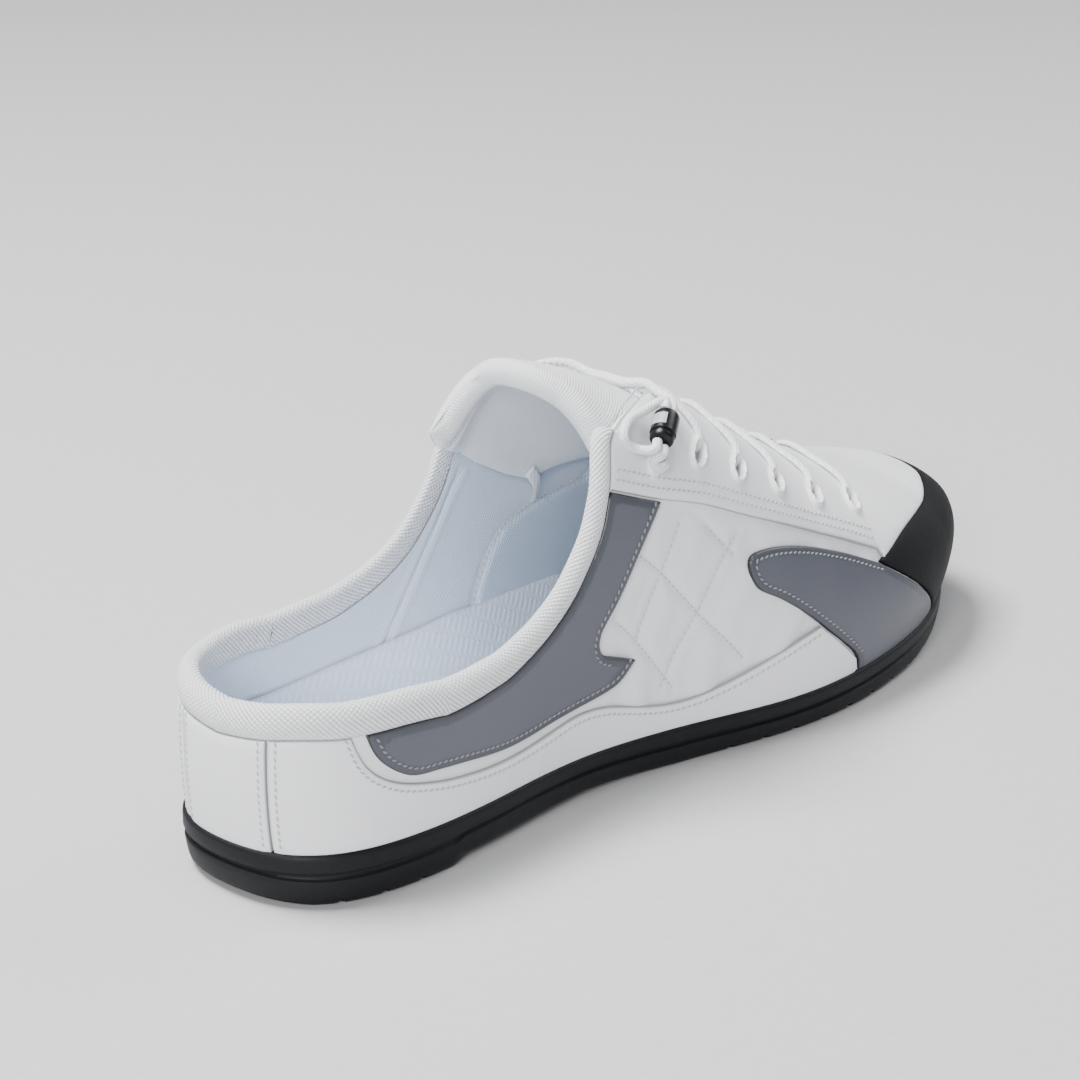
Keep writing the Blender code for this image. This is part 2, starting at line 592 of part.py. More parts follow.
def build_tongue():
    """The padded tongue, with its rolled upper end standing out of the throat."""
    first = 1 + (TONGUE_TOP_AT - HEEL_AXIS) / (TOE_AXIS - HEEL_AXIS)
    last = 1 + (TONGUE_TIP_AT - HEEL_AXIS) / (TOE_AXIS - HEEL_AXIS)
    # Roll: along (share of the roll's length), thickness (share), sink of its outer face (share of thickness)
    roll = [(0.00, 0.45, 0.28), (0.10, 0.80, 0.10), (0.30, 1.00, 0.00), (0.55, 0.95, 0.02), (0.80, 0.66, 0.10)]
    end_of_roll = first + TONGUE_ROLL_LENGTH / LENGTH / (TOE_AXIS - HEEL_AXIS)
    rows = [(first + (end_of_roll - first) * along, thick * TONGUE_ROLL, sink * TONGUE_ROLL)
            for along, thick, sink in roll]
    flat = [place for place in PLACES if end_of_roll <= place < last]
    rows += [(place, TONGUE_THICK, 0.0) for place in flat[:-1]] + [(flat[-1], TONGUE_THICK * 0.6, 0.0)]
    sections = []
    for place, thick, sink in rows:
        share = (place - first) / (last - first)
        half = TONGUE_TOP_HALF + (TONGUE_TIP_HALF - TONGUE_TOP_HALF) * share ** 1.4
        depth = WALL + TONGUE_PLAY + sink
        outer = tongue_line(place, half, depth)
        inner = tongue_line(place, half, depth + thick)
        sections.append(np.concatenate([outer, inner[::-1]]))
    points, faces = sweep(sections)
    count = 2 * TONGUE_HALF_STEPS + 1
    faces = faces[:-2]
    for start, flip in ((0, True), ((len(rows) - 1) * 2 * count, False)):
        for j in range(count - 1):
            face = [start + n for n in (j, j + 1, 2 * count - 2 - j, 2 * count - 1 - j)]
            faces.append(tuple(reversed(face)) if flip else tuple(face))
    solid("tongue", points, faces, WHITE_KNIT)


def eyelet_ends(row, sign):
    low_place, low_up, high_place, high_up = row
    return (sign * low_place, low_up), (sign * high_place, high_up)


def build_eyelets():
    """Long moulded rings on the eyestay, one for each hole of the lace."""
    lift = CLEARANCE * 2 + OVERLAY
    turns = np.linspace(0, 2 * np.pi, 11)[:-1]
    for side, sign in (("lateral", 1), ("medial", -1)):
        for number, row in enumerate(EYELETS, 1):
            low, high = eyelet_ends(row, sign)
            middle_place, middle_up = (low[0] + high[0]) / 2, (low[1] + high[1]) / 2
            centre = on_upper(middle_place, middle_up)
            long_way = on_upper(*high) - on_upper(*low)
            long_way /= np.linalg.norm(long_way)
            out = on_upper(middle_place, middle_up, 0.001) - centre
            out /= np.linalg.norm(out)
            wide_way = np.cross(out, long_way)
            sections = []
            for turn in turns:
                reach = np.array([np.cos(turn), np.sin(turn)])
                ring = []
                # Section of the rim: further out (m), lift (m)
                for wider, rise in ((-EYELET_RIM, 0.0), (0.0, 0.0), (-EYELET_RIM * 0.2, 0.0009), (-EYELET_RIM * 0.8, 0.0009)):
                    along = (EYELET_LENGTH / 2 + wider) * reach[0]
                    wide = (EYELET_WIDTH / 2 + wider) * reach[1]
                    ring.append(settle(centre + long_way * along + wide_way * wide, middle_place, middle_up, lift + rise))
                sections.append(np.array(ring))
            solid(f"eyelet_{side}_{number}", *sweep(sections, closed=True), WHITE_LEATHER)


def settle(point, place, up, lift):
    """The spot of the upper nearest to a point near a place, lifted off it."""
    for _ in range(6):
        here = on_upper(place, up)
        by_place = (on_upper(place + 0.01, up) - here) / 0.01
        by_up = (on_upper(place, up + 0.01) - here) / 0.01
        step = np.linalg.lstsq(np.column_stack([by_place, by_up]), point - here, rcond=None)[0]
        place, up = place + step[0], up + step[1]
    return on_upper(place, up, lift)


def bar_heights(place, start):
    """Ups of a lace bar from its start to the ridge and its heights there: over the throat's edge, then sagging."""
    lift = CLEARANCE * 3 + OVERLAY + LACE_FLAT / 2
    edge = shell_edge(place)
    open_half = np.linalg.norm(rib(place, [1.0])[0] - rib(place, [edge])[0])
    on_tongue = CLEARANCE + LACE_FLAT / 2 - WALL - TONGUE_PLAY
    sag = min(lift - on_tongue, BAR_SLOPE * (open_half - LACE_FLAT))
    # Stations of the bar: share of the way from the throat's edge to the ridge, share of the sag
    inner = [(0.0, 0.0), (0.35, 0.40), (0.7, 0.85)]
    ups = [start, (start + edge) / 2] + [edge + (1 - edge) * along for along, _ in inner]
    return ups, [lift, lift] + [lift - sag * low for _, low in inner], lift - sag


def build_lace_bars():
    """Lace across the throat from each eyelet to its partner, over the eyestay and the tongue."""
    turns = np.linspace(0, 2 * np.pi, 9)[:-1]
    for number, row in enumerate(EYELETS[1:], 2):
        top_place, top_up = row[2], row[3]
        ups, lifts, crest = bar_heights(top_place, top_up + 0.06)
        near = [on_upper(top_place, up, lift) for up, lift in zip(ups, lifts)]
        far = [on_upper(-top_place, up, lift) for up, lift in zip(ups, lifts)]
        middle = (on_upper(top_place, 1.0 - 1e-6, crest) + on_upper(-top_place, 1.0 - 1e-6, crest)) / 2
        path = np.array(near + [middle] + far[::-1])
        step = np.gradient(path, axis=0)
        sections = []
        for point, way in zip(path, step):
            way = way / np.linalg.norm(way)
            flat = np.array([0.0, 1.0, 0.0]) - way * way[1]
            flat /= np.linalg.norm(flat)
            out = np.cross(way, flat)
            sections.append(np.array([point + flat * np.cos(turn) * LACE * 0.6 + out * np.sin(turn) * LACE_FLAT / 2
                                      for turn in turns]))
        solid(f"lace_bar_{number}", *sweep(sections), WHITE_LACE)


def build_lock():
    """The cord lock, a short cylinder with eased ends; returns its low and top ends and a way across it."""
    low, top = (on_upper(*row) for row in LOCK_ENDS)
    way = (top - low) / np.linalg.norm(top - low)
    across = np.cross(way, on_upper(*LOCK_ENDS[0]) - on_upper(*LOCK_ENDS[0][:2]))
    across /= np.linalg.norm(across)
    out = np.cross(across, way)
    turns = np.linspace(0, 2 * np.pi, 13)[:-1]
    tall = np.linalg.norm(top - low)
    sections = []
    # Section along the lock: along (share of its length), radius (share)
    for along, wide in ((0.0, 0.80), (0.08, 1.0), (0.92, 1.0), (1.0, 0.80)):
        centre = low + way * along * tall
        sections.append(np.array([centre + (across * np.cos(turn) + out * np.sin(turn)) * LOCK_RADIUS * wide
                                  for turn in turns]))
    solid("lace_lock", *sweep(sections), BLACK_PLASTIC)
    return low, top, way, across * LACE * 0.55


def build_cord(name, path):
    """A free length of lace through the points."""
    path = np.array(path)
    knots = np.concatenate([[0.0], np.cumsum(np.linalg.norm(np.diff(path, axis=0), axis=1))])
    count = int(round(knots[-1] / (2.2 * LACE))) + 1
    points = spline(knots, path, np.linspace(0, knots[-1], count)) - MIDDLE
    curve = bpy.data.curves.new(name, "CURVE")
    curve.dimensions = "3D"
    curve.bevel_depth = LACE / 2
    curve.bevel_resolution = 2
    curve.use_fill_caps = True
    line = curve.splines.new("POLY")
    line.points.add(len(points) - 1)
    for spot, point in zip(line.points, points):
        spot.co = (*point, 1.0)
    thing = bpy.data.objects.new(name, curve)
    bpy.context.collection.objects.link(thing)
    curve.materials.append(material(name, *WHITE_LACE))


def build_free_lace():
    """Lace from the lock: into the near top eyelet, round in a loop, and over to the far top eyelet."""
    low, top, way, aside = build_lock()
    gap = LACE * 0.35
    low_end, top_start = low - way * gap, top + way * gap
    into_eyelet = [on_upper(*row) for row in NEAR_END]
    build_cord("lace_end", [low_end + aside, low_end + aside - way * LACE] + into_eyelet)
    round_loop = [on_upper(*row) for row in LOOP]
    build_cord("lace_loop", [low_end - aside, low_end - aside - way * LACE] + round_loop
               + [top_start - aside + way * LACE, top_start - aside])
    over = [on_upper(*row) for row in OVER_CREST]
    build_cord("lace_over", [top_start + aside, top_start + aside + way * LACE] + over)


for step in (build_upper, build_overlays, build_outsole, build_insole, build_collar_band, build_tongue,
             build_eyelets, build_lace_bars, build_free_lace):
    step()
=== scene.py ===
"""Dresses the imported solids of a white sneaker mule, right shoe, with its seen surfaces.

Metres, +Z up, toe along +Y, +X is the outer side. A spot on the upper is a pair: place, from 0 at the heel
back by 1 (heel side) and 2 (toe side) to 3 (toe tip), with a minus on the inner side, and up, the share of the
rib's curve from the feather edge (0) to the ridge (1). Lengths run from the heel until a mesh is made.
"""

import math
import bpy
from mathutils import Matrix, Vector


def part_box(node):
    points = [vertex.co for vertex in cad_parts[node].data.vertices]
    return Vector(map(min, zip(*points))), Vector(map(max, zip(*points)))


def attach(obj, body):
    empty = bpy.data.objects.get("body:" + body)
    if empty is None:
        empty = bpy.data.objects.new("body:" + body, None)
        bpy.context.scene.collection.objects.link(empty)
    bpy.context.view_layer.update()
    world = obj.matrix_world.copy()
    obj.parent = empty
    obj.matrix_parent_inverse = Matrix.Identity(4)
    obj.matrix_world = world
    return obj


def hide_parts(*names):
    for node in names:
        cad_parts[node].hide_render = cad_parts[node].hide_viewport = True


bl_info = {
    "name": "Sneaker Mule Dressing",
    "version": (1, 0, 0),
    "blender": (4, 5, 0),
    "location": "View3D > Sidebar > Mule",
    "description": "Builds the seen surfaces of a sneaker mule over its packed solids",
    "category": "Object",
}

import bmesh
import bpy
import numpy as np
from bpy.props import FloatProperty, FloatVectorProperty, PointerProperty
from mathutils import Vector, kdtree
from mathutils.geometry import delaunay_2d_cdt

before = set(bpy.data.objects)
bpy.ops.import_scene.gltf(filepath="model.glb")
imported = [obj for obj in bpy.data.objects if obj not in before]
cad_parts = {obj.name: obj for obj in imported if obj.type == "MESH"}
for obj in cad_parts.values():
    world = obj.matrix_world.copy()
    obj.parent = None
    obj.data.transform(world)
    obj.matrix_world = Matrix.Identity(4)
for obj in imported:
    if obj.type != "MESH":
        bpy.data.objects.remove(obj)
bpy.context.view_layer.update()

# Sizes and tables of the last, as the part's source has them
LENGTH, BALL_WIDTH, HEEL_WIDTH = 0.286, 0.100, 0.069
INSTEP_HEIGHT, TOE_HEIGHT = 0.119, 0.0468
SOLE_AT_HEEL, SOLE_AT_BALL, SOLE_AT_TOE = 0.0147, 0.0109, 0.0178
TOE_SPRING, ARCH_LIFT = 0.0070, 0.0020
TIP_TO_MEDIAL, RIDGE_TO_MEDIAL = 0.006, 0.005
WALL, CLEARANCE, OVERLAY, SEAM = 0.0020, 0.0003, 0.0010, 0.0005
FEATHER_INSET, INSOLE_THICK, INSOLE_PLAY = 0.0022, 0.0040, 0.0008
LACE, LACE_FLAT = 0.0026, 0.0017
HEEL_AXIS, TOE_AXIS = 0.157, 0.895
COLLAR_FRONT = 1.325
BACKSTAY_WIDTH = 0.0280

HALF_WIDTHS = {"heel": HEEL_WIDTH / 2, "ball": BALL_WIDTH / 2}
HEIGHTS = {"instep": INSTEP_HEIGHT, "toe box": TOE_HEIGHT, "heel": SOLE_AT_HEEL, "ball": SOLE_AT_BALL,
           "toe": SOLE_AT_TOE, "spring": TOE_SPRING, "arch": ARCH_LIFT, "floor": 0.0}
LATERAL_SIDE = [
    (0.0105, 0.46, "heel"), (0.049, 0.81, "heel"), (0.122, 0.99, "heel"), (0.227, 1.01, "heel"),
    (0.350, 0.965, "heel"), (0.472, 0.77, "ball"), (0.577, 0.93, "ball"), (0.664, 0.995, "ball"),
    (0.752, 0.97, "ball"), (0.839, 0.86, "ball"), (0.920, 0.62, "ball"), (0.976, 0.30, "ball")]
MEDIAL_SIDE = [
    (0.0105, 0.46, "heel"), (0.049, 0.80, "heel"), (0.122, 0.975, "heel"), (0.227, 0.93, "heel"),
    (0.350, 0.82, "heel"), (0.455, 0.62, "ball"), (0.560, 0.74, "ball"), (0.664, 0.91, "ball"),
    (0.752, 0.995, "ball"), (0.839, 0.95, "ball"), (0.925, 0.73, "ball"), (0.979, 0.41, "ball")]
RIDGE = [
    (0.157, 0.992, "instep"), (0.280, 1.000, "instep"), (0.374, 0.975, "instep"), (0.4545, 0.905, "instep"),
    (0.559, 0.775, "instep"), (0.650, 0.643, "instep"), (0.692, 0.590, "instep"), (0.734, 0.544, "instep"),
    (0.801, 0.479, "instep"), (0.871, 1.048, "toe box"), (0.895, 1.000, "toe box"), (1.000, 0.790, "toe box")]
SOLE_TOP = [
    (0.00, 1.00, "heel"), (0.25, 0.95, "heel"), (0.45, 1.08, "ball"), (0.60, 1.00, "ball"),
    (0.80, 1.12, "ball"), (0.92, 0.86, "toe"), (1.00, 1.00, "toe")]
SOLE_BOTTOM = [
    (0.000, 0.17, "spring"), (0.035, 0.0, "floor"), (0.166, 0.0, "floor"), (0.176, 1.0, "arch"),
    (0.350, 1.0, "arch"), (0.460, 0.0, "floor"), (0.700, 0.0, "floor"), (0.800, 0.17, "spring"),
    (0.900, 0.52, "spring"), (1.000, 1.0, "spring")]
RIB_FORM = [
    (0.00, 0.060, 0.45, 0.72), (1.00, 0.050, 0.50, 0.74), (1.15, 0.042, 0.60, 0.84), (1.30, 0.034, 0.72, 0.95),
    (1.42, 0.030, 0.68, 0.88), (1.55, 0.030, 0.62, 0.74), (1.68, 0.045, 0.57, 0.63), (1.80, 0.075, 0.58, 0.58),
    (2.00, 0.135, 0.72, 0.60), (2.50, 0.170, 0.79, 0.65), (3.00, 0.165, 0.83, 0.68)]
SHELL_EDGE = [
    (0.00, 0.198), (0.18, 0.203), (0.33, 0.207), (0.50, 0.202), (0.73, 0.199), (0.964, 0.189), (1.058, 0.182),
    (1.094, 0.182), (1.157, 0.197), (1.192, 0.213), (1.231, 0.243), (1.261, 0.284), (1.288, 0.341),
    (1.308, 0.430), (1.325, 0.545), (1.354, 0.611), (1.394, 0.684), (1.458, 0.790), (1.53, 0.850),
    (1.60, 0.875), (1.75, 0.890), (1.87, 0.920), (1.92, 1.000), (3.00, 1.000)]
EYESTAY_LOWER = [(1.306, 0.425), (1.395, 0.416), (1.462, 0.426), (1.539, 0.428), (1.684, 0.430), (1.795, 0.370)]
TOE_CAP_UPPER = [(1.790, 0.326), (1.823, 0.362), (1.874, 0.420), (1.954, 0.487), (2.080, 0.530), (2.300, 0.560)]
TOE_CAP_LOWER = [(1.790, 0.322), (1.841, 0.242), (1.896, 0.134), (1.935, 0.020)]
PATCH_UPPER = [(1.527, 0.305), (1.551, 0.341), (1.599, 0.369), (1.671, 0.381), (1.731, 0.360), (1.787, 0.319)]
PATCH_LOWER = [(1.535, 0.253), (1.566, 0.231), (1.607, 0.200), (1.642, 0.160), (1.680, 0.106), (1.715, 0.042)]
FOXING_UPPER = [
    (0.517, 0.201), (0.566, 0.149), (0.676, 0.109), (0.866, 0.083), (1.095, 0.052), (1.211, 0.056),
    (1.267, 0.058), (1.370, 0.039), (1.448, 0.041), (1.539, 0.082), (1.632, 0.149)]
TRIM_LOWER = [
    (0.570, 0.203), (0.610, 0.162), (0.677, 0.131), (0.791, 0.105), (0.958, 0.097), (1.094, 0.072),
    (1.191, 0.069), (1.284, 0.074), (1.318, 0.087), (1.341, 0.115)]
TRIM_FRONT = [(1.300, 0.125), (1.282, 0.138), (1.279, 0.158), (1.299, 0.191), (1.334, 0.260), (1.373, 0.356), (1.388, 0.396)]
EYELETS = [
    (1.383, 0.472, 1.411, 0.568), (1.462, 0.515, 1.498, 0.630), (1.535, 0.515, 1.571, 0.635),
    (1.614, 0.525, 1.650, 0.645), (1.698, 0.519, 1.734, 0.641), (1.783, 0.500, 1.818, 0.633)]
EYELET_LENGTH, EYELET_WIDTH = 0.0105, 0.0056
LOCK_ENDS = [(1.384, 0.550, 0.0067), (1.415, 0.634, 0.0063)]
LOCK_RADIUS = 0.0035
NEAR_END = [(1.371, 0.502, 0.0052), (1.381, 0.487, 0.0045), (1.395, 0.497, 0.0042)]
LOOP = [(1.357, 0.529, 0.0034), (1.339, 0.556, 0.0030), (1.350, 0.594, 0.0030), (1.385, 0.642, 0.0036)]
OVER_CREST = [
    (1.455, 0.765, 0.0034), (1.470, 0.84, 0.0020), (1.480, 0.92, -0.0006), (1.482, 1.0, -0.0011), (-1.480, 0.92, -0.0006),
    (-1.470, 0.84, 0.0020), (-1.450, 0.76, 0.0034), (-1.415, 0.61, 0.0048), (-1.397, 0.520, 0.0042)]
TONGUE_TOP_HALF, TONGUE_TIP_HALF, TONGUE_TOP_AT, TONGUE_TIP_AT = 0.0380, 0.0200, 0.364, 0.850
TONGUE_THICK, TONGUE_ROLL, TONGUE_ROLL_LENGTH, TONGUE_PLAY = 0.0032, 0.0072, 0.0150, 0.0012
TREAD_PITCH, TREAD_CUT, TREAD_DEPTH = 0.0110, 0.0022, 0.0016

# Quilting seams of the white quarter, as spots
QUILTING = [
    [(1.360, 0.287), (1.392, 0.256), (1.446, 0.185), (1.492, 0.130), (1.515, 0.097)],
    [(1.311, 0.178), (1.350, 0.138), (1.409, 0.057)],
    [(1.437, 0.399), (1.458, 0.394), (1.486, 0.352), (1.508, 0.321)],
    [(1.437, 0.399), (1.397, 0.276), (1.375, 0.216), (1.350, 0.146)],
    [(1.522, 0.376), (1.477, 0.268), (1.446, 0.185), (1.410, 0.110), (1.392, 0.062)]]


class MuleSizes(bpy.types.PropertyGroup):
    """Sizes of the fine work."""
    stitch: FloatProperty(name="Stitch", description="Length of one stitch with its gap", default=0.0019, unit="LENGTH")
    thread: FloatProperty(name="Thread", description="Thickness of the sewing thread", default=0.00062, unit="LENGTH")
    roll: FloatProperty(name="Edge Roll", description="Rounding of the panels' edges", default=0.0008, unit="LENGTH")
    mesh: FloatProperty(name="Mesh Step", description="Distance between points of a panel's mesh", default=0.0022, unit="LENGTH")
    puff: FloatProperty(name="Quilt Depth", description="Depth of the quilting's seams", default=0.0006, unit="LENGTH")


class MuleColours(bpy.types.PropertyGroup):
    """Colours of the finishes."""
    white: FloatVectorProperty(name="White Leather", description="Smooth white panels", subtype="COLOR", default=(0.80, 0.81, 0.83))
    grey: FloatVectorProperty(name="Grey Leather", description="Collar trim and toe patches", subtype="COLOR", default=(0.085, 0.090, 0.112))
    black: FloatVectorProperty(name="Black Leather", description="Toe cap", subtype="COLOR", default=(0.0028, 0.0031, 0.0045))
    rubber: FloatVectorProperty(name="Black Rubber", description="Sole", subtype="COLOR", default=(0.0032, 0.0035, 0.0050))
    knit: FloatVectorProperty(name="White Knit", description="Collar band and tongue", subtype="COLOR", default=(0.82, 0.83, 0.85))
    lining: FloatVectorProperty(name="Lining", description="Inside of the shoe", subtype="COLOR", default=(0.64, 0.71, 0.81))
    # The vamp lining is its own cloth, and its darker colour also stands in for painted shade deep in the toe.
    vamp: FloatVectorProperty(name="Vamp Lining", description="Lining in front of its curved seam", subtype="COLOR", default=(0.50, 0.59, 0.71))
    lace: FloatVectorProperty(name="Lace", description="Elastic lace", subtype="COLOR", default=(0.84, 0.85, 0.87))


def spline(knots, values, where, closed=False):
    """A smooth cubic through the values; a closed one goes round without a break."""
    knots, values = np.asarray(knots, float), np.asarray(values, float)
    where = np.atleast_1d(np.asarray(where, float))
    count, step = len(knots), np.diff(knots)
    rise = np.diff(values, axis=0) / step[:, None]
    matrix, right = np.zeros((count, count)), np.zeros(values.shape)
    for i in range(1, count - 1):
        matrix[i, i - 1:i + 2] = step[i - 1], 2 * (step[i - 1] + step[i]), step[i]
        right[i] = 6 * (rise[i] - rise[i - 1])
    if closed:
        matrix[0, [0, 1, count - 2]] = 2 * (step[0] + step[-1]), step[0], step[-1]
        right[0] = 6 * (rise[0] - rise[-1])
        matrix[-1, [0, -1]] = 1, -1
    else:
        matrix[0, 0] = matrix[-1, -1] = 1
    bend = np.linalg.solve(matrix, right)
    i = np.clip(np.searchsorted(knots, where, side="right") - 1, 0, count - 2)
    span, after = step[i][:, None], (where - knots[i])[:, None]
    before = span - after
    curved = (bend[i] * before ** 3 + bend[i + 1] * after ** 3) / (6 * span)
    left = (values[i] / span - bend[i] * span / 6) * before
    return curved + left + (values[i + 1] / span - bend[i + 1] * span / 6) * after


def steady(knots, values, where):
    """A cubic through the values that never swings past them."""
    knots, values, where = (np.asarray(a, float) for a in (knots, values, where))
    step = np.diff(knots)
    rise = np.diff(values) / step
    slope = np.concatenate([[rise[0]], np.zeros(len(knots) - 2), [rise[-1]]])
    for i in range(1, len(knots) - 1):
        if rise[i - 1] * rise[i] > 0:
            near, far = 2 * step[i] + step[i - 1], step[i] + 2 * step[i - 1]
            slope[i] = (near + far) / (near / rise[i - 1] + far / rise[i])
    i = np.clip(np.searchsorted(knots, where, side="right") - 1, 0, len(knots) - 2)
    t = (where - knots[i]) / step[i]
    ends = (1 + 2 * t) * (1 - t) ** 2 * values[i] + t * t * (3 - 2 * t) * values[i + 1]
    return ends + step[i] * (t * (1 - t) ** 2 * slope[i] + t * t * (t - 1) * slope[i + 1])


def profile(table):
    return [row[0] * LENGTH for row in table], [row[1] * HEIGHTS[row[2]] for row in table]


RIDGE_LINE, SOLE_TOP_LINE, SOLE_BOTTOM_LINE = profile(RIDGE), profile(SOLE_TOP), profile(SOLE_BOTTOM)


def ridge_height(y):
    return spline(RIDGE_LINE[0], np.array(RIDGE_LINE[1])[:, None], y)[:, 0]


def sole_top(y):
    return steady(*SOLE_TOP_LINE, y)


def sole_bottom(y):
    return np.interp(y, *SOLE_BOTTOM_LINE)


def outline(inset, count=1800):
    """The sole's edge seen from above, drawn in by the inset."""
    points = [(0.0, 0.0)]
    points += [(out * HALF_WIDTHS[width], along * LENGTH) for along, out, width in LATERAL_SIDE]
    points += [(-TIP_TO_MEDIAL, LENGTH)]
    points += [(-out * HALF_WIDTHS[width], along * LENGTH) for along, out, width in reversed(MEDIAL_SIDE)]
    points = np.array(points + [(0.0, 0.0)])
    chords = np.sqrt(np.linalg.norm(np.diff(points, axis=0), axis=1))
    knots = np.concatenate([[0], np.cumsum(chords)])
    loop = spline(knots, points, np.linspace(0, knots[-1], count + 1), closed=True)[:-1]
    along = np.roll(loop, -1, 0) - np.roll(loop, 1, 0)
    outward = np.column_stack([along[:, 1], -along[:, 0]])
    return loop - outward / np.linalg.norm(outward, axis=1)[:, None] * inset


def footing(place, loop):
    """Where the rib at a place stands on the loop, and the point of the ridge that it leans to."""
    side, place = (1 if place >= 0 else -1), abs(place)
    share = min(max(place - 1, 0), 1)
    angle = np.pi / 2 * (min(place, 1) - 1 + max(place - 2, 0))
    axis = np.array([-RIDGE_TO_MEDIAL * share, (HEEL_AXIS + (TOE_AXIS - HEEL_AXIS) * share) * LENGTH])
    aim = np.array([np.cos(angle) * side, np.sin(angle)])
    rel = loop - axis
    off = rel[:, 0] * aim[1] - rel[:, 1] * aim[0]
    after = np.roll(off, -1)
    i = np.where((off * after <= 0) & (rel @ aim > 0))[0][0]
    share = off[i] / (off[i] - after[i])
    return np.concatenate([loop[i] + (loop[(i + 1) % len(loop)] - loop[i]) * share, axis])


STATIONS = np.linspace(-3, 3, 2401)
FEET = np.array([footing(place, outline(FEATHER_INSET)) for place in STATIONS])
EDGE = outline(0.0)
LOW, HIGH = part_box("outsole")
MIDDLE = np.array([EDGE[:, 0].max() - HIGH.x, EDGE[:, 1].min() - LOW.y, 0.0])


def last(place, up):
    """Points of the upper's outer face."""
    place, up = np.broadcast_arrays(np.asarray(place, float), np.asarray(up, float))
    place = (place + 3) % 6 - 3
    foot_x, foot_y, axis_x, axis_y = (np.interp(place, STATIONS, FEET[:, k]) for k in range(4))
    form = np.array(RIB_FORM)
    swell, shoulder, crown = (np.interp(np.abs(place), form[:, 0], form[:, k]) for k in (1, 2, 3))
    base = sole_top(foot_y) + CLEARANCE
    top = ridge_height(axis_y.ravel()).reshape(axis_y.shape)
    dip = (ridge_height(axis_y.ravel() + 0.001) - ridge_height(axis_y.ravel() - 0.001)).reshape(top.shape) / 0.002
    run_x, run_y = foot_x - axis_x, foot_y - axis_y
    far = np.hypot(run_x, run_y)
    tail = np.where(np.abs(place) > 2, dip * run_y * crown, 0.0)
    start = np.stack([foot_x, foot_y, base], -1)
    bulge = np.stack([foot_x + run_x / far * swell * BALL_WIDTH, foot_y + run_y / far * swell * BALL_WIDTH,
                      base + shoulder * (top - base)], -1)
    bend = np.stack([axis_x + run_x * crown, axis_y + run_y * crown, top + tail], -1)
    end = np.stack([axis_x, axis_y, top], -1)
    t = up[..., None]
    return (1 - t) ** 3 * start + 3 * (1 - t) ** 2 * t * bulge + 3 * (1 - t) * t ** 2 * bend + t ** 3 * end


def facing(place, up):
    """Outward normals of the upper's face."""
    place, up = np.broadcast_arrays(np.asarray(place, float), np.asarray(up, float))
    up = np.where(np.abs(place) > 1.95, np.minimum(up, 0.985), np.minimum(up, 0.9995))
    small = 0.0005
    across = last(place, up + small) - last(place, up - small)
    along = last(place + 0.002, up) - last(place - 0.002, up)
    normal = np.cross(along, across)
    return normal / np.linalg.norm(normal, axis=-1, keepdims=True)


def over(place, up, lift=0.0):
    """Points over the upper's face, lifted along its normals."""
    lift = np.asarray(lift, float)
    return last(place, up) + facing(place, up) * lift[..., None]


def shell_edge(place):
    rows = np.array(SHELL_EDGE)
    return steady(rows[:, 0], rows[:, 1], np.abs(place))


WALK_STEP = np.linalg.norm(np.diff(last(STATIONS, 0.25), axis=0), axis=1)
WALK = np.concatenate([[0.0], np.cumsum(WALK_STEP)])
RIB_LENGTH = 0.095


def to_sheet(path):
    """Spots laid flat, in millimetres."""
    return np.column_stack([np.interp(path[:, 0], STATIONS, WALK), path[:, 1] * RIB_LENGTH]) * 1000


def from_sheet(points):
    return np.column_stack([np.interp(points[:, 0] / 1000, WALK, STATIONS), points[:, 1] / 1000 / RIB_LENGTH])


def line(table, side=1, count=120):
    """A smooth line of spots through a table."""
    flat = to_sheet(np.array(table))
    knots = np.concatenate([[0], np.cumsum(np.sqrt(np.linalg.norm(np.diff(flat, axis=0), axis=1)))])
    return from_sheet(spline(knots, flat, np.linspace(0, knots[-1], count))) * [side, 1]


def straight(first, second, side=1, count=60):
    t = np.linspace(0, 1, count)[:, None]
    return (np.array(first) * (1 - t) + np.array(second) * t) * [side, 1]


def edge_line(first, second, side=1, count=200):
    """Spots along the shell's upper edge between two places."""
    places = np.linspace(first, second, count)
    return np.column_stack([places * side, shell_edge(places)])


def evenly(path, gap, flat=False):
    """The line with its points a gap apart on the shoe, or on the flat sheet where ribs meet."""
    points = to_sheet(path) / 1000 if flat else last(path[:, 0], path[:, 1])
    walk = np.concatenate([[0], np.cumsum(np.linalg.norm(np.diff(points, axis=0), axis=1))])
    where = np.linspace(0, walk[-1], max(int(round(walk[-1] / gap)), 2) + 1)
    return np.column_stack([np.interp(where, walk, path[:, k]) for k in (0, 1)])


def shifted(path, aside, closed=False):
    """The line moved over the shoe to its left, seen from outside, by some metres."""
    path = np.array(path, float)
    for _ in range(max(int(math.ceil(abs(aside) / 0.0012)), 1)):
        part = aside / max(int(math.ceil(abs(aside) / 0.0012)), 1)
        points = last(path[:, 0], path[:, 1])
        if closed:
            way = np.roll(points, -1, 0) - np.roll(points, 1, 0)
        else:
            way = np.gradient(points, axis=0)
        way /= np.linalg.norm(way, axis=1)[:, None] + 1e-12
        left = np.cross(facing(path[:, 0], path[:, 1]), way) * part
        by_place = (last(path[:, 0] + 0.002, path[:, 1]) - last(path[:, 0] - 0.002, path[:, 1])) / 0.004
        by_up = (last(path[:, 0], path[:, 1] + 0.001) - last(path[:, 0], path[:, 1] - 0.001)) / 0.002
        aa, ab, bb = (by_place ** 2).sum(1), (by_place * by_up).sum(1), (by_up ** 2).sum(1)
        la, lb = (left * by_place).sum(1), (left * by_up).sum(1)
        det = aa * bb - ab * ab + 1e-15
        path = path + np.column_stack([(la * bb - lb * ab) / det, (lb * aa - la * ab) / det])
    return path


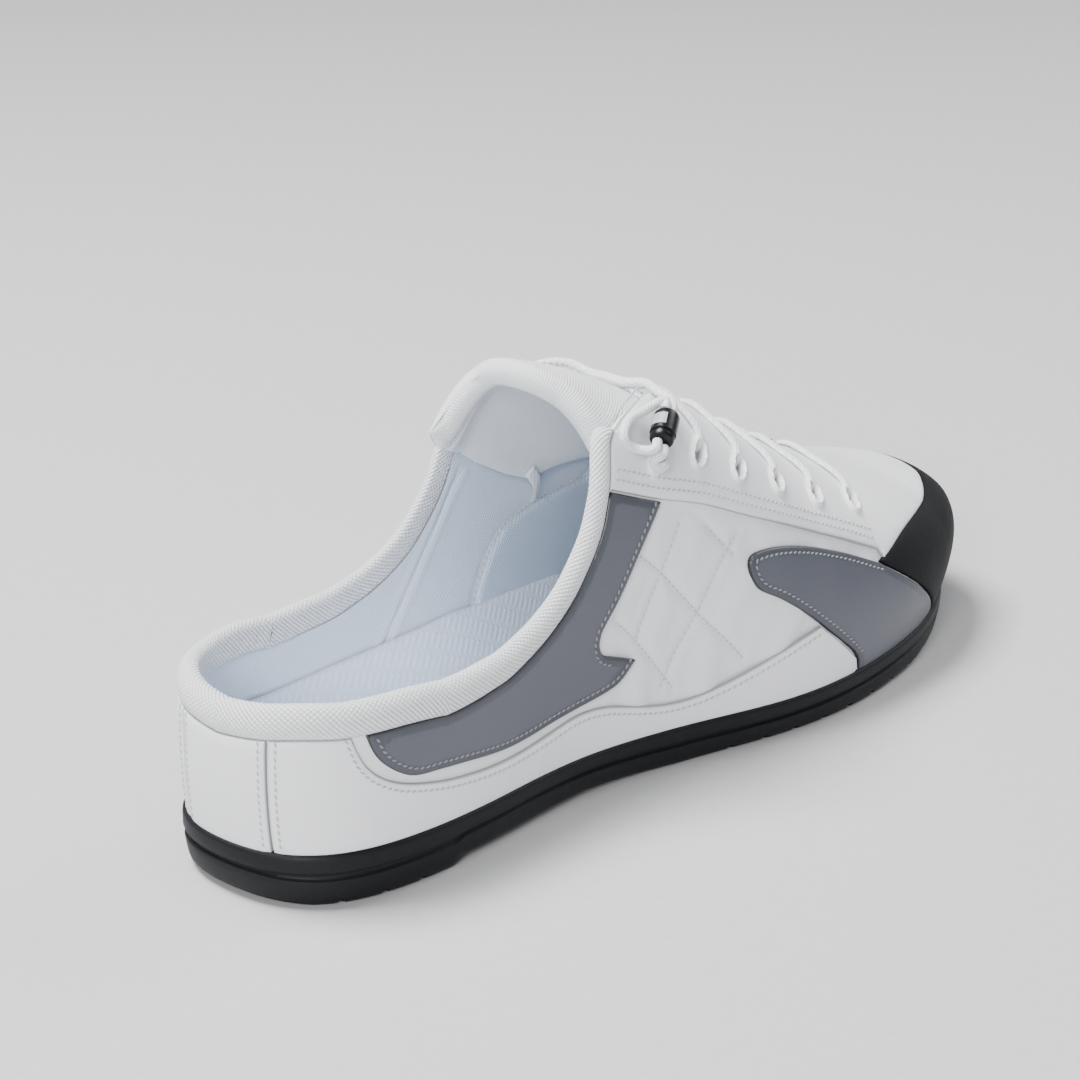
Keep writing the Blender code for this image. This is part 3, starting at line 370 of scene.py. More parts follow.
def inside(points, polygon):
    """Which flat points lie inside the polygon."""
    hit = np.zeros(len(points), bool)
    for (ax, ay), (bx, by) in zip(polygon, np.roll(polygon, -1, 0)):
        if ay != by:
            cross = (points[:, 1] < ay) != (points[:, 1] < by)
            hit ^= cross & (points[:, 0] < (bx - ax) * (points[:, 1] - ay) / (by - ay) + ax)
    return hit


def nearest(points, targets):
    """Distance of each point to the nearest target."""
    tree = kdtree.KDTree(len(targets))
    for i, target in enumerate(targets):
        tree.insert(target, i)
    tree.balance()
    return np.array([tree.find(point)[2] for point in points])


def new_mesh(name, points, faces, finish, smooth=True, marks=None):
    """A named piece from points measured from the heel."""
    mesh = bpy.data.meshes.new(name)
    mesh.from_pydata([tuple(p) for p in np.asarray(points) - MIDDLE], [], [tuple(int(n) for n in f) for f in faces])
    for key, values in (marks or {}).items():
        mesh.attributes.new(key, "FLOAT", "POINT").data.foreach_set("value", np.asarray(values, np.float32))
    thing = bpy.data.objects.new(name, mesh)
    bpy.context.scene.collection.objects.link(thing)
    if smooth:
        mesh.shade_smooth()
    if finish:
        mesh.materials.append(finish)
    return thing


def weld(thing, gap=2e-5, angle=50):
    work = bmesh.new()
    work.from_mesh(thing.data)
    bmesh.ops.remove_doubles(work, verts=work.verts, dist=gap)
    work.to_mesh(thing.data)
    work.free()
    thing.data.shade_smooth()
    thing.data.set_sharp_from_angle(angle=math.radians(angle))


def settle(thing, nodes=()):
    """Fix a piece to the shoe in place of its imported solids."""
    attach(thing, "root")
    if nodes:
        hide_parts(*nodes)


FINE_STEP = 0.55


def panel(sides, thick, base, roll, step, relief=None, fine=()):
    """Points, faces and marks of a sewn panel inside a loop of lines; kinds are edge, seam and tuck."""
    loop, kinds = [], []
    for path, kind in sides:
        path = evenly(path, 0.0012 if kind == "edge" else 0.0024, flat=kind == "seam")
        loop.append(path[:-1])
        kinds += [kind] * (len(path) - 1)
    loop, kinds = np.concatenate(loop), np.array(kinds)
    flat = to_sheet(loop)
    turn = np.roll(flat, -1, 0)
    if (flat[:, 0] * turn[:, 1] - flat[:, 1] * turn[:, 0]).sum() < 0:
        loop = loop[::-1]
        kinds = np.concatenate([kinds[:-1][::-1], kinds[-1:]])
        flat = to_sheet(loop)
    count = len(loop)
    is_edge = (kinds == "edge") | (np.roll(kinds, 1) == "edge")
    rims = last(loop[is_edge, 0], loop[is_edge, 1])

    def height(distance):
        short = np.clip(distance / roll, 0, 1)
        return base + thick * (0.25 + 0.75 * np.sqrt(1 - (1 - short) ** 2))

    spots, heights, aways = [loop], [height(np.where(is_edge, 0, nearest(last(*loop.T), rims)))], \
        [np.where(is_edge, 0, nearest(last(*loop.T), rims))]
    for aside in (0.35 * roll, roll):
        row = shifted(loop, aside, closed=True)[is_edge]
        away = nearest(last(*row.T), rims)
        good = (away > 0.93 * aside) & inside(to_sheet(row), flat)
        spots.append(row[good])
        heights.append(np.full(good.sum(), height(np.array(aside))))
        aways.append(np.full(good.sum(), aside))
    pitch = step * 1000
    low, high = flat.min(0), flat.max(0)
    rows = np.arange(low[1], high[1], pitch * 0.87)
    grid = [np.column_stack([np.arange(low[0] + (k % 2) * pitch / 2, high[0], pitch), np.full(len(np.arange(
        low[0] + (k % 2) * pitch / 2, high[0], pitch)), y)]) for k, y in enumerate(rows)]
    grid = np.concatenate(grid)
    for centre, reach in fine:
        grid = grid[np.linalg.norm(grid - centre, axis=1) > reach + 0.3]
        small = np.arange(-reach, reach, FINE_STEP)
        patch = np.array([(centre[0] + x + (k % 2) * FINE_STEP / 2, centre[1] + y) for k, y in enumerate(small) for x in small])
        grid = np.concatenate([grid, patch[np.linalg.norm(patch - centre, axis=1) <= reach]])
    grid = grid[inside(grid, flat)]
    grid_flat_far = nearest(np.column_stack([grid, np.zeros(len(grid))]),
                            np.column_stack([flat, np.zeros(count)])) > pitch * 0.35
    grid = from_sheet(grid[grid_flat_far])
    away = nearest(last(*grid.T), rims)
    good = away > roll + step * 0.35
    spots.append(grid[good])
    heights.append(height(away[good]))
    aways.append(away[good])
    spots, heights, aways = np.concatenate(spots), np.concatenate(heights), np.concatenate(aways)

    result = delaunay_2d_cdt([Vector(p) for p in to_sheet(spots)], [], [list(range(count))], 1, 1e-4)
    out_points, _, out_faces, origin = result[:4]
    out_spots = from_sheet(np.array([tuple(p) for p in out_points]))
    picked = np.array([o[0] if o else -1 for o in origin])
    known = picked >= 0
    lift, rim = np.full(len(picked), base + thick), np.full(len(picked), 0.01)
    lift[known], rim[known] = heights[picked[known]], aways[picked[known]]
    out_spots[known] = spots[picked[known]]
    painted_shade = np.zeros(len(lift))
    # The relief gives a rise and a mark of painted shade.
    if relief:
        rise, painted_shade = relief(last(out_spots[:, 0], out_spots[:, 1]))
        lift = lift + rise
    points = over(out_spots[:, 0], out_spots[:, 1], lift)
    faces = [tuple(face) for face in out_faces]
    where = {int(o): k for k, o in enumerate(picked) if o >= 0}
    low_points, low_at = [], {}
    for i in range(count):
        j = (i + 1) % count
        if kinds[i] == "edge" and i in where and j in where and where[i] != where[j]:
            for n in (i, j):
                if n not in low_at:
                    low_at[n] = len(points) + len(low_points)
                    low_points.append(over(*loop[n], base - 0.0004))
            faces.append((where[j], where[i], low_at[i], low_at[j]))
    rim = np.concatenate([np.minimum(rim, 0.01), np.zeros(len(low_points))])
    if low_points:
        points = np.concatenate([points, np.array(low_points)])
        painted_shade = np.concatenate([painted_shade, np.zeros(len(low_points))])
    return points, faces, rim, painted_shade


def sewn(name, loops, thick, finish, nodes, base=CLEARANCE, roll=None, step=None, relief=None, fine=()):
    """A piece from one or more panels joined along their seams."""
    sizes = bpy.context.scene.mule_sizes
    points, faces, rim, painted_shade = [], [], [], []
    for sides in loops:
        more, parts, away, deep = panel(sides, thick, base, roll or sizes.roll, step or sizes.mesh, relief, fine)
        start = sum(len(p) for p in points)
        points.append(more)
        faces += [tuple(n + start for n in face) for face in parts]
        rim.append(away)
        painted_shade.append(deep)
    # Each piece keeps its distance from the rim and its mark of painted shade.
    thing = new_mesh(name, np.concatenate(points), faces, finish, marks={
        "rim": np.concatenate(rim), "painted_shade": np.concatenate(painted_shade)})
    weld(thing)
    settle(thing, nodes)
    return thing


def tube(path, radius, flat=1.0, flatways=None, turns=12, closed=False, caps=True):
    """Points and faces of a round or flattened cord along a path."""
    path = np.asarray(path, float)
    way = (np.roll(path, -1, 0) - np.roll(path, 1, 0)) if closed else np.gradient(path, axis=0)
    way /= np.linalg.norm(way, axis=1)[:, None]
    side = np.zeros(path.shape)
    current = np.cross(way[0], [0.3, 0.2, 1.0]) if flatways is None else None
    for i, direction in enumerate(way):
        guess = current if flatways is None else flatways[i]
        current = guess - direction * (guess @ direction)
        current /= np.linalg.norm(current)
        side[i] = current
    out = np.cross(way, side)
    angle = np.linspace(0, 2 * np.pi, turns + 1)[:-1]
    radius = np.broadcast_to(np.asarray(radius, float), len(path))
    rings = (path[:, None] + side[:, None] * (np.cos(angle) * radius[:, None])[..., None]
             + out[:, None] * (np.sin(angle) * radius[:, None] * flat)[..., None])
    count, faces = len(path), []
    for i in range(count if closed else count - 1):
        for j in range(turns):
            k, a, b = (j + 1) % turns, i * turns, (i + 1) % count * turns
            faces.append((a + j, a + k, b + k, b + j))
    if not closed and caps:
        faces.append(tuple(reversed(range(turns))))
        faces.append(tuple((count - 1) * turns + j for j in range(turns)))
    return rings.reshape(-1, 3), faces


def woven_grid(grid, closed_rows=False, closed_columns=False, flip=False):
    """Points and faces of a net of rows and columns."""
    rows, columns = grid.shape[:2]
    faces = []
    for i in range(rows if closed_rows else rows - 1):
        for j in range(columns if closed_columns else columns - 1):
            a, b = (i + 1) % rows, (j + 1) % columns
            face = (i * columns + j, a * columns + j, a * columns + b, i * columns + b)
            faces.append(face[::-1] if flip else face)
    return grid.reshape(-1, 3), faces


# Finishes

def shader(tree, kind, inputs=None, **settings):
    made = tree.nodes.new("ShaderNode" + kind)
    for key, value in settings.items():
        setattr(made, key, value)
    for key, value in (inputs or {}).items():
        if isinstance(value, bpy.types.NodeSocket):
            tree.links.new(value, made.inputs[key])
        else:
            made.inputs[key].default_value = value
    return made


def sums(tree, operation, *values):
    inputs = {i: value for i, value in enumerate(values)}
    return shader(tree, "Math", inputs, operation=operation).outputs[0]


def effect_group(name, inputs, outputs):
    tree = bpy.data.node_groups.new(name, "ShaderNodeTree")
    for label, kind, default in inputs:
        socket = tree.interface.new_socket(name=label, in_out="INPUT", socket_type="NodeSocket" + kind)
        if default is not None:
            socket.default_value = default
    for label, kind in outputs:
        tree.interface.new_socket(name=label, in_out="OUTPUT", socket_type="NodeSocket" + kind)
    return tree, tree.nodes.new("NodeGroupInput").outputs, tree.nodes.new("NodeGroupOutput").inputs


def grain_effect():
    """Pebbled skin with broad creases."""
    tree, given, out = effect_group("Leather Grain", [
        ("Vector", "Vector", None), ("Pebbles", "Float", 1300.0), ("Creases", "Float", 60.0), ("Crease Depth", "Float", 0.5)],
        [("Height", "Float"), ("Tone", "Float")])
    pebble = shader(tree, "TexVoronoi", {"Vector": given["Vector"], "Scale": given["Pebbles"], "Randomness": 0.9},
                    feature="SMOOTH_F1").outputs["Distance"]
    crease = shader(tree, "TexNoise", {"Vector": given["Vector"], "Scale": given["Creases"], "Detail": 4.0,
                                       "Roughness": 0.55}).outputs["Fac"]
    deep = sums(tree, "MULTIPLY", crease, given["Crease Depth"])
    tree.links.new(sums(tree, "ADD", sums(tree, "MULTIPLY", pebble, -0.5), deep), out["Height"])
    tree.links.new(crease, out["Tone"])
    return tree


def weave_effect():
    """Diagonal ribs of knit, broken by a crossing thread."""
    tree, given, out = effect_group("Knit Weave", [
        ("Along", "Float", 0.0), ("Across", "Float", 0.0), ("Pitch", "Float", 0.0016)],
        [("Height", "Float"), ("Gap", "Float")])
    u = sums(tree, "DIVIDE", given["Along"], given["Pitch"])
    v = sums(tree, "DIVIDE", given["Across"], given["Pitch"])
    rib = sums(tree, "ABSOLUTE", sums(tree, "SINE", sums(tree, "MULTIPLY", sums(tree, "ADD", u, v), math.pi)))
    cross = sums(tree, "ABSOLUTE", sums(tree, "SINE", sums(tree, "MULTIPLY", sums(tree, "SUBTRACT", u, v), math.pi)))
    rib = sums(tree, "POWER", rib, 0.7)
    height = sums(tree, "MULTIPLY", rib, sums(tree, "MULTIPLY_ADD", cross, 0.5, 0.5))
    tree.links.new(height, out["Height"])
    # Gap is high in the low parts of the weave, where the cloths paint shade.
    gap = shader(tree, "MapRange", {"Value": height, "From Min": 0.05, "From Max": 0.45, "To Min": 1.0, "To Max": 0.0})
    tree.links.new(gap.outputs[0], out["Gap"])
    return tree


def edge_effect():
    """Darkening along a cut edge, partly the edge's own dark colour and partly painted shade at the panel's edge, with
    a speckled copy of it.
    """
    tree, given, out = effect_group("Edge Dark And Painted Shade", [
        ("Rim", "Float", 0.01), ("Edge Width", "Float", 0.0005), ("Vector", "Vector", None)],
        [("Edge", "Float"), ("Rub", "Float")])
    edge = shader(tree, "MapRange", {"Value": given["Rim"], "From Min": 0.0, "From Max": given["Edge Width"],
                                     "To Min": 1.0, "To Max": 0.0}, interpolation_type="SMOOTHSTEP").outputs[0]
    speck = shader(tree, "TexNoise", {"Vector": given["Vector"], "Scale": 350.0, "Detail": 3.0}).outputs["Fac"]
    tree.links.new(edge, out["Edge"])
    tree.links.new(sums(tree, "MULTIPLY", edge, speck), out["Rub"])
    return tree


def placed(tree, group, inputs):
    made = shader(tree, "Group", node_tree=group)
    for key, value in inputs.items():
        if isinstance(value, bpy.types.NodeSocket):
            tree.links.new(value, made.inputs[key])
        else:
            made.inputs[key].default_value = value
    return made.outputs


def finish_tree(name, **settings):
    """A named finish with its shader's even values set; returns finish, tree, shader and object coordinates."""
    finish = bpy.data.materials.new(name)
    finish.use_nodes = True
    tree = finish.node_tree
    body = tree.nodes["Principled BSDF"]
    for key, value in settings.items():
        body.inputs[key.replace("_", " ")].default_value = value
    return finish, tree, body, tree.nodes.new("ShaderNodeTexCoord").outputs["Object"]


def tint(tree, amount, dark, light):
    """A colour between two by an amount."""
    mix = shader(tree, "Mix", data_type="RGBA")
    mix.inputs["A"].default_value, mix.inputs["B"].default_value = (*dark, 1), (*light, 1)
    for socket in mix.inputs:
        if socket.name == "Factor" and socket.type == "VALUE":
            tree.links.new(amount, socket)
            break
    return mix


def shaded(tree, colour, amount, strength, dark=(0, 0, 0)):
    """A colour darkened where an amount is high."""
    mix = shader(tree, "Mix", data_type="RGBA")
    tree.links.new(colour, mix.inputs["A"])
    mix.inputs["B"].default_value = (*dark, 1)
    for socket in mix.inputs:
        if socket.name == "Factor" and socket.type == "VALUE":
            tree.links.new(sums(tree, "MULTIPLY", amount, strength), socket)
            break
    return mix.outputs["Result"]


def raised(tree, body, height, distance, strength=1.0, under=None):
    bump = shader(tree, "Bump", {"Height": height, "Distance": distance, "Strength": strength})
    if under:
        tree.links.new(under, bump.inputs["Normal"])
    tree.links.new(bump.outputs[0], body.inputs["Normal"])
    return bump.outputs[0]


def mark(tree, name):
    return shader(tree, "Attribute", attribute_name=name).outputs["Fac"]


def scaled(colour, share):
    return tuple(c * share for c in colour)


FINISHES = {}


def make_leather(name, colour, grain, edge, roughness, pebbles, deep, edge_share, painted_shade=False, border=None, shine=0.45):
    finish, tree, body, where = finish_tree(name, Roughness=roughness, Specular_IOR_Level=shine)
    skin = placed(tree, grain, {"Vector": where, "Pebbles": pebbles, "Creases": 55.0, "Crease Depth": deep})
    rim = mark(tree, "rim")
    edge_dark_and_shade = placed(tree, edge, {"Rim": rim, "Edge Width": 0.00045, "Vector": where})
    tone = tint(tree, skin["Tone"], scaled(colour, 0.96), scaled(colour, 1.03)).outputs["Result"]
    if border:
        band = shader(tree, "MapRange", {"Value": rim, "From Min": border - 0.0003, "From Max": border + 0.0003,
                                         "To Min": 1.0, "To Max": 0.0}).outputs[0]
        tone = shaded(tree, tone, band, 0.28)
    # The rim darkens: partly the cut edge's own colour, partly painted shade at the panel's edge.
    tone = shaded(tree, tone, edge_dark_and_shade["Edge"], edge_share)
    # Painted shade: where the mark is set, the white leather darkens towards a tenth of its colour, in the eyelets'
    # hollows and along the quilting seams.
    if painted_shade:
        tone = shaded(tree, tone, mark(tree, "painted_shade"), 0.80, scaled(colour, 0.10))
    tree.links.new(tone, body.inputs["Base Color"])
    rough = sums(tree, "MULTIPLY_ADD", skin["Tone"], 0.16, roughness - 0.08)
    tree.links.new(rough, body.inputs["Roughness"])
    raised(tree, body, skin["Height"], 0.00018, 0.6)
    return finish


def make_cloth(name, colour, weave, pitch, depth, shade, roughness=0.85, vamp=None):
    finish, tree, body, where = finish_tree(name, Sheen_Weight=0.25, Sheen_Roughness=0.4)
    threads = placed(tree, weave, {"Along": mark(tree, "along"), "Across": mark(tree, "across"), "Pitch": pitch})
    mottle = shader(tree, "TexNoise", {"Vector": where, "Scale": 90.0, "Detail": 3.0}).outputs["Fac"]
    tone = tint(tree, mottle, scaled(colour, 0.95), scaled(colour, 1.03)).outputs["Result"]
    # In front of the curved seam the lining takes the vamp colour: partly its own cloth, partly painted shade deep in
    # the toe.
    if vamp:
        tone = shaded(tree, tone, mark(tree, "vamp"), 1.0, vamp)
    # Painted shade: the weave's gaps darken towards a quarter of the cloth's colour by the shade share.
    tone = shaded(tree, tone, threads["Gap"], shade, scaled(colour, 0.25))
    tree.links.new(tone, body.inputs["Base Color"])
    tree.links.new(sums(tree, "MULTIPLY_ADD", mottle, 0.1, roughness - 0.05), body.inputs["Roughness"])
    raised(tree, body, threads["Height"], depth, 0.9)
    return finish


def make_insole_cloth(colour):
    """Footbed cloth with zigzag ribs pressed into it."""
    finish, tree, body, where = finish_tree("Ribbed Footbed", Sheen_Weight=0.2)
    axes = shader(tree, "SeparateXYZ", {"Vector": where}).outputs
    aside = sums(tree, "SUBTRACT", axes["X"], axes["Z"])
    ribs = sums(tree, "SINE", sums(tree, "MULTIPLY", sums(tree, "MULTIPLY_ADD", aside, 0.45, axes["Y"]), 2 * math.pi / 0.0026))
    gaps = sums(tree, "SINE", sums(tree, "MULTIPLY", sums(tree, "MULTIPLY_ADD", axes["Y"], -0.45, aside), 2 * math.pi / 0.0068))
    gaps = shader(tree, "MapRange", {"Value": gaps, "From Min": -0.9, "From Max": -0.5}, interpolation_type="SMOOTHSTEP").outputs[0]
    ribs = shader(tree, "MapRange", {"Value": ribs, "From Min": -0.6, "From Max": 0.8}, interpolation_type="SMOOTHSTEP").outputs[0]
    ribs = sums(tree, "MULTIPLY", ribs, gaps)
    weave = shader(tree, "TexVoronoi", {"Vector": where, "Scale": 1500.0}, feature="F1").outputs["Distance"]
    tone = tint(tree, ribs, scaled(colour, 0.94), scaled(colour, 1.02)).outputs["Result"]
    tree.links.new(tone, body.inputs["Base Color"])
    tree.links.new(sums(tree, "MULTIPLY_ADD", weave, 0.2, 0.75), body.inputs["Roughness"])
    low = shader(tree, "Bump", {"Height": weave, "Distance": 0.00012, "Strength": 0.6}).outputs[0]
    raised(tree, body, ribs, 0.00025, 0.5, under=low)
    return finish


def make_rubber(colour):
    finish, tree, body, where = finish_tree("Black Rubber", Specular_IOR_Level=0.25)
    stipple = shader(tree, "TexNoise", {"Vector": where, "Scale": 1600.0, "Detail": 2.0}).outputs["Fac"]
    dust = shader(tree, "TexNoise", {"Vector": where, "Scale": 45.0, "Detail": 5.0, "Roughness": 0.6}).outputs["Fac"]
    tone = tint(tree, dust, scaled(colour, 0.8), scaled(colour, 1.5)).outputs["Result"]
    tree.links.new(tone, body.inputs["Base Color"])
    tree.links.new(sums(tree, "MULTIPLY_ADD", dust, 0.25, 0.42), body.inputs["Roughness"])
    raised(tree, body, stipple, 0.00015, 0.55)
    return finish


def make_braid(name, colour, pitch):
    finish, tree, body, where = finish_tree(name, Sheen_Weight=0.2)
    around = shader(tree, "SeparateXYZ", {"Vector": where}).outputs
    one = sums(tree, "SINE", sums(tree, "MULTIPLY", sums(tree, "ADD", around["X"], around["Y"]), 2 * math.pi / pitch))
    two = sums(tree, "SINE", sums(tree, "MULTIPLY", sums(tree, "SUBTRACT", around["Y"], around["Z"]), 2 * math.pi / pitch))
    plait = sums(tree, "MULTIPLY_ADD", sums(tree, "MAXIMUM", one, two), 0.5, 0.5)
    tone = tint(tree, plait, scaled(colour, 0.82), colour).outputs["Result"]
    tree.links.new(tone, body.inputs["Base Color"])
    tree.links.new(sums(tree, "MULTIPLY_ADD", plait, 0.1, 0.6), body.inputs["Roughness"])
    raised(tree, body, plait, 0.0002, 0.7)
    return finish


def make_plain(name, colour, roughness, depth=0.0001, scale=900.0, shine=0.5):
    """A moulded or spun finish with a fine uneven surface."""
    finish, tree, body, where = finish_tree(name, Specular_IOR_Level=shine)
    speck = shader(tree, "TexNoise", {"Vector": where, "Scale": scale, "Detail": 3.0}).outputs["Fac"]
    tone = tint(tree, speck, scaled(colour, 0.85), scaled(colour, 1.1)).outputs["Result"]
    tree.links.new(tone, body.inputs["Base Color"])
    tree.links.new(sums(tree, "MULTIPLY_ADD", speck, 0.15, roughness - 0.07), body.inputs["Roughness"])
    raised(tree, body, speck, depth, 0.5)
    return finish


class MULE_OT_finishes(bpy.types.Operator):
    """Mix the finishes"""
    bl_idname = "mule.finishes"
    bl_label = "Finishes"

    def execute(self, context):
        colours = context.scene.mule_colours
        grain, weave, edge = grain_effect(), weave_effect(), edge_effect()
        FINISHES["white"] = make_leather("White Leather", colours.white, grain, edge, 0.42, 1500.0, 0.35, 0.60, painted_shade=True)
        FINISHES["grey"] = make_leather("Grey Leather", colours.grey, grain, edge, 0.38, 1300.0, 0.30, 0.80, border=0.0024)
        FINISHES["black"] = make_leather("Black Toe Leather", colours.black, grain, edge, 0.66, 1100.0, 0.45, 0.5, shine=0.2)
        FINISHES["rubber"] = make_rubber(colours.rubber)
        # The last number of each cloth is the strength of its painted shade in the weave's gaps.
        FINISHES["knit"] = make_cloth("White Knit", colours.knit, weave, 0.0014, 0.00045, 0.38)
        FINISHES["tongue"] = make_cloth("Tongue Cloth", colours.knit, weave, 0.0010, 0.00020, 0.12)
        FINISHES["lining"] = make_cloth("Lining Cloth", colours.lining, weave, 0.0011, 0.00014, 0.10, vamp=colours.vamp)
        FINISHES["footbed"] = make_insole_cloth(scaled(colours.lining, 1.10))
        FINISHES["lace"] = make_braid("Braided Lace", colours.lace, 0.0011)
        FINISHES["elastic"] = make_braid("Elastic Tape", scaled(colours.lace, 0.92), 0.0014)
        # The white thread is the white leather at six tenths: its own light colour darkened with painted shade for the
        # dimples the stitches sit in.
        FINISHES["thread"] = make_plain("White Thread With Painted Shade", scaled(colours.white, 0.60), 0.7)
        FINISHES["grey thread"] = make_plain("Grey Thread", (0.22, 0.225, 0.25), 0.6)
        FINISHES["plastic"] = make_plain("Black Plastic", scaled(colours.black, 0.8), 0.34, shine=0.35)
        FINISHES["plate"] = make_plain("Light Plate", (0.40, 0.41, 0.43), 0.4)
        return {"FINISHED"}


class MULE_OT_stage(bpy.types.Operator):
    """Set the camera, the floor and the lights"""
    bl_idname = "mule.stage"
    bl_label = "Stage"

    def execute(self, context):
        scene = context.scene
        lens = bpy.data.cameras.new("Photo Camera")
        lens.lens, lens.sensor_width = 100.0, 36.0
        camera = bpy.data.objects.new("Photo Camera", lens)
        scene.collection.objects.link(camera)
        camera.location = Vector((0.5004, -0.4404, 0.3430)) - Vector(MIDDLE)
        camera.rotation_euler = (math.radians(90 - 20.68), 0.0, math.radians(41.90))
        scene.camera = camera

        half = 4.0
        floor = bpy.data.meshes.new("Floor")
        floor.from_pydata([(-half, -half, 0), (half, -half, 0), (half, half, 0), (-half, half, 0)], [], [(0, 1, 2, 3)])
        board = bpy.data.objects.new("Floor", floor)
        board.location.z = -0.0002
        scene.collection.objects.link(board)
        finish, tree, body, where = finish_tree("Pale Floor", Roughness=0.8)
        speck = shader(tree, "TexNoise", {"Vector": where, "Scale": 240.0, "Detail": 4.0}).outputs["Fac"]
        tree.links.new(tint(tree, speck, (0.50, 0.50, 0.505), (0.56, 0.56, 0.565)).outputs["Result"], body.inputs["Base Color"])
        floor.materials.append(finish)

        for name, place, aim, size, power in (
                ("Key Softbox", (-0.5, -0.4, 1.6), (0.0, 0.0, 0.05), 0.7, 66.0),
                ("Front Softbox", (0.9, -1.6, 0.9), (0.0, 0.0, 0.05), 0.6, 38.0),
                ("Toe Softbox", (0.3, 1.4, 1.2), (0.0, 0.05, 0.05), 0.8, 14.0)):
            lamp = bpy.data.lights.new(name, "AREA")
            lamp.energy, lamp.size = power, size
            light = bpy.data.objects.new(name, lamp)
            light.location = place
            light.rotation_euler = (Vector(aim) - Vector(place)).to_track_quat("-Z", "Y").to_euler()
            scene.collection.objects.link(light)
        world = bpy.data.worlds.new("Studio")
        world.use_nodes = True
        world.node_tree.nodes["Background"].inputs["Color"].default_value = (0.86, 0.89, 0.94, 1)
        world.node_tree.nodes["Background"].inputs["Strength"].default_value = 0.33
        scene.world = world
        return {"FINISHED"}


def cord_points(path, gap):
    """The path's points evenly spaced on a smooth line."""
    path = np.array(path)
    knots = np.concatenate([[0.0], np.cumsum(np.linalg.norm(np.diff(path, axis=0), axis=1))])
    return spline(knots, path, np.linspace(0, knots[-1], int(round(knots[-1] / gap)) + 1))


def spot_points(rows):
    return [over(*row) for row in rows]


def lock_frame():
    """The lock's low and top ends, its axis, and the two ways across it."""
    low, top = spot_points(LOCK_ENDS)
    way = (top - low) / np.linalg.norm(top - low)
    across = np.cross(way, low - last(*LOCK_ENDS[0][:2]))
    across /= np.linalg.norm(across)
    return low, top, way, across, np.cross(across, way)


def lace_curve(name, points):
    curve = bpy.data.curves.new(name, "CURVE")
    curve.dimensions = "3D"
    curve.bevel_depth = LACE / 2
    curve.bevel_resolution = 3
    curve.use_fill_caps = True
    path = curve.splines.new("POLY")
    path.points.add(len(points) - 1)
    for spot, point in zip(path.points, points - MIDDLE):
        spot.co = (*point, 1.0)
    curve.materials.append(FINISHES["lace"])
    thing = bpy.data.objects.new(name, curve)
    bpy.context.scene.collection.objects.link(thing)
    return thing, np.linalg.norm(np.diff(points, axis=0), axis=1).sum()


class MULE_OT_free_lace(bpy.types.Operator):
    """Run the elastic lace from its lock to the two top eyelets"""
    bl_idname = "mule.free_lace"
    bl_label = "Free Lace"

    def execute(self, context):
        low, top, way, across, _ = lock_frame()
        aside, gap = across * LACE * 0.55, LACE * 0.35
        low_end, top_start = low - way * gap, top + way * gap
        routes = {
            "lace_end": [low_end + aside, low_end + aside - way * LACE] + spot_points(NEAR_END),
            "lace_loop": [low_end - aside, low_end - aside - way * LACE] + spot_points(LOOP)
            + [top_start - aside + way * LACE, top_start - aside],
            "lace_over": [top_start + aside, top_start + aside + way * LACE] + spot_points(OVER_CREST)}
        for name, route in routes.items():
            points = cord_points(route, 0.0011)
            thing, length = lace_curve("elastic_" + name, points)
            settle(thing, [name])
        return {"FINISHED"}


def revolved(start, way, across, out, rows, turns=40):
    """Points and faces of a turned shape from rows of along (m) and radius (m)."""
    angle = np.linspace(0, 2 * np.pi, turns + 1)[:-1]
    ring = across * np.cos(angle)[:, None] + out * np.sin(angle)[:, None]
    grid = np.array([start + way * along + ring * radius for along, radius in rows])
    return woven_grid(grid, closed_columns=True, flip=True)


class MULE_OT_lock(bpy.types.Operator):
    """Turn the sprung cord lock"""
    bl_idname = "mule.lock"
    bl_label = "Cord Lock"

    def execute(self, context):
        low, top, way, across, out = lock_frame()
        tall, radius = np.linalg.norm(top - low), LOCK_RADIUS
        rows = [(0.0, 0.0001), (0.0, 0.0016), (0.0003, radius * 0.86), (0.0008, radius * 0.93), (0.0016, radius * 0.93),
                (0.0018, radius * 0.85), (0.0023, radius * 0.85), (0.0025, radius), (0.0031, radius * 1.0),
                (tall - 0.0018, radius), (tall - 0.0008, radius * 0.98), (tall - 0.0003, radius * 0.90),
                (tall - 0.0003, radius * 0.72), (tall - 0.0007, radius * 0.66), (tall - 0.0007, 0.0001)]
        points, faces = revolved(low, way, across, out, rows)
        body = new_mesh("cord_lock", points, faces, FINISHES["plastic"])
        weld(body, 3e-4, 35)
        settle(body, ["lace_lock"])

        angle = np.linspace(-0.62, 0.62, 17)
        away = self.side_of_plate(low, across, out)
        turned = np.cross(way, away)
        along = np.linspace(0.0036, tall - 0.0022, 9)
        grid = np.array([[low + way * a + (away * np.cos(t) + turned * np.sin(t)) * (radius + 0.00012) for t in angle] for a in along])
        points, faces = woven_grid(grid)
        plate = new_mesh("lock_plate", points, faces, FINISHES["plate"])
        settle(plate, ())
        return {"FINISHED"}

    def side_of_plate(self, low, across, out):
        """The way across the lock that its light face looks, towards the collar."""
        away = np.array([0.30, -0.95, 0.05])
        away = across * (away @ across) + out * (away @ out)
        return away / np.linalg.norm(away)


# How far the quilted white quarter lies below the pieces sewn round it (m)
QUILT_SINK = 0.00075


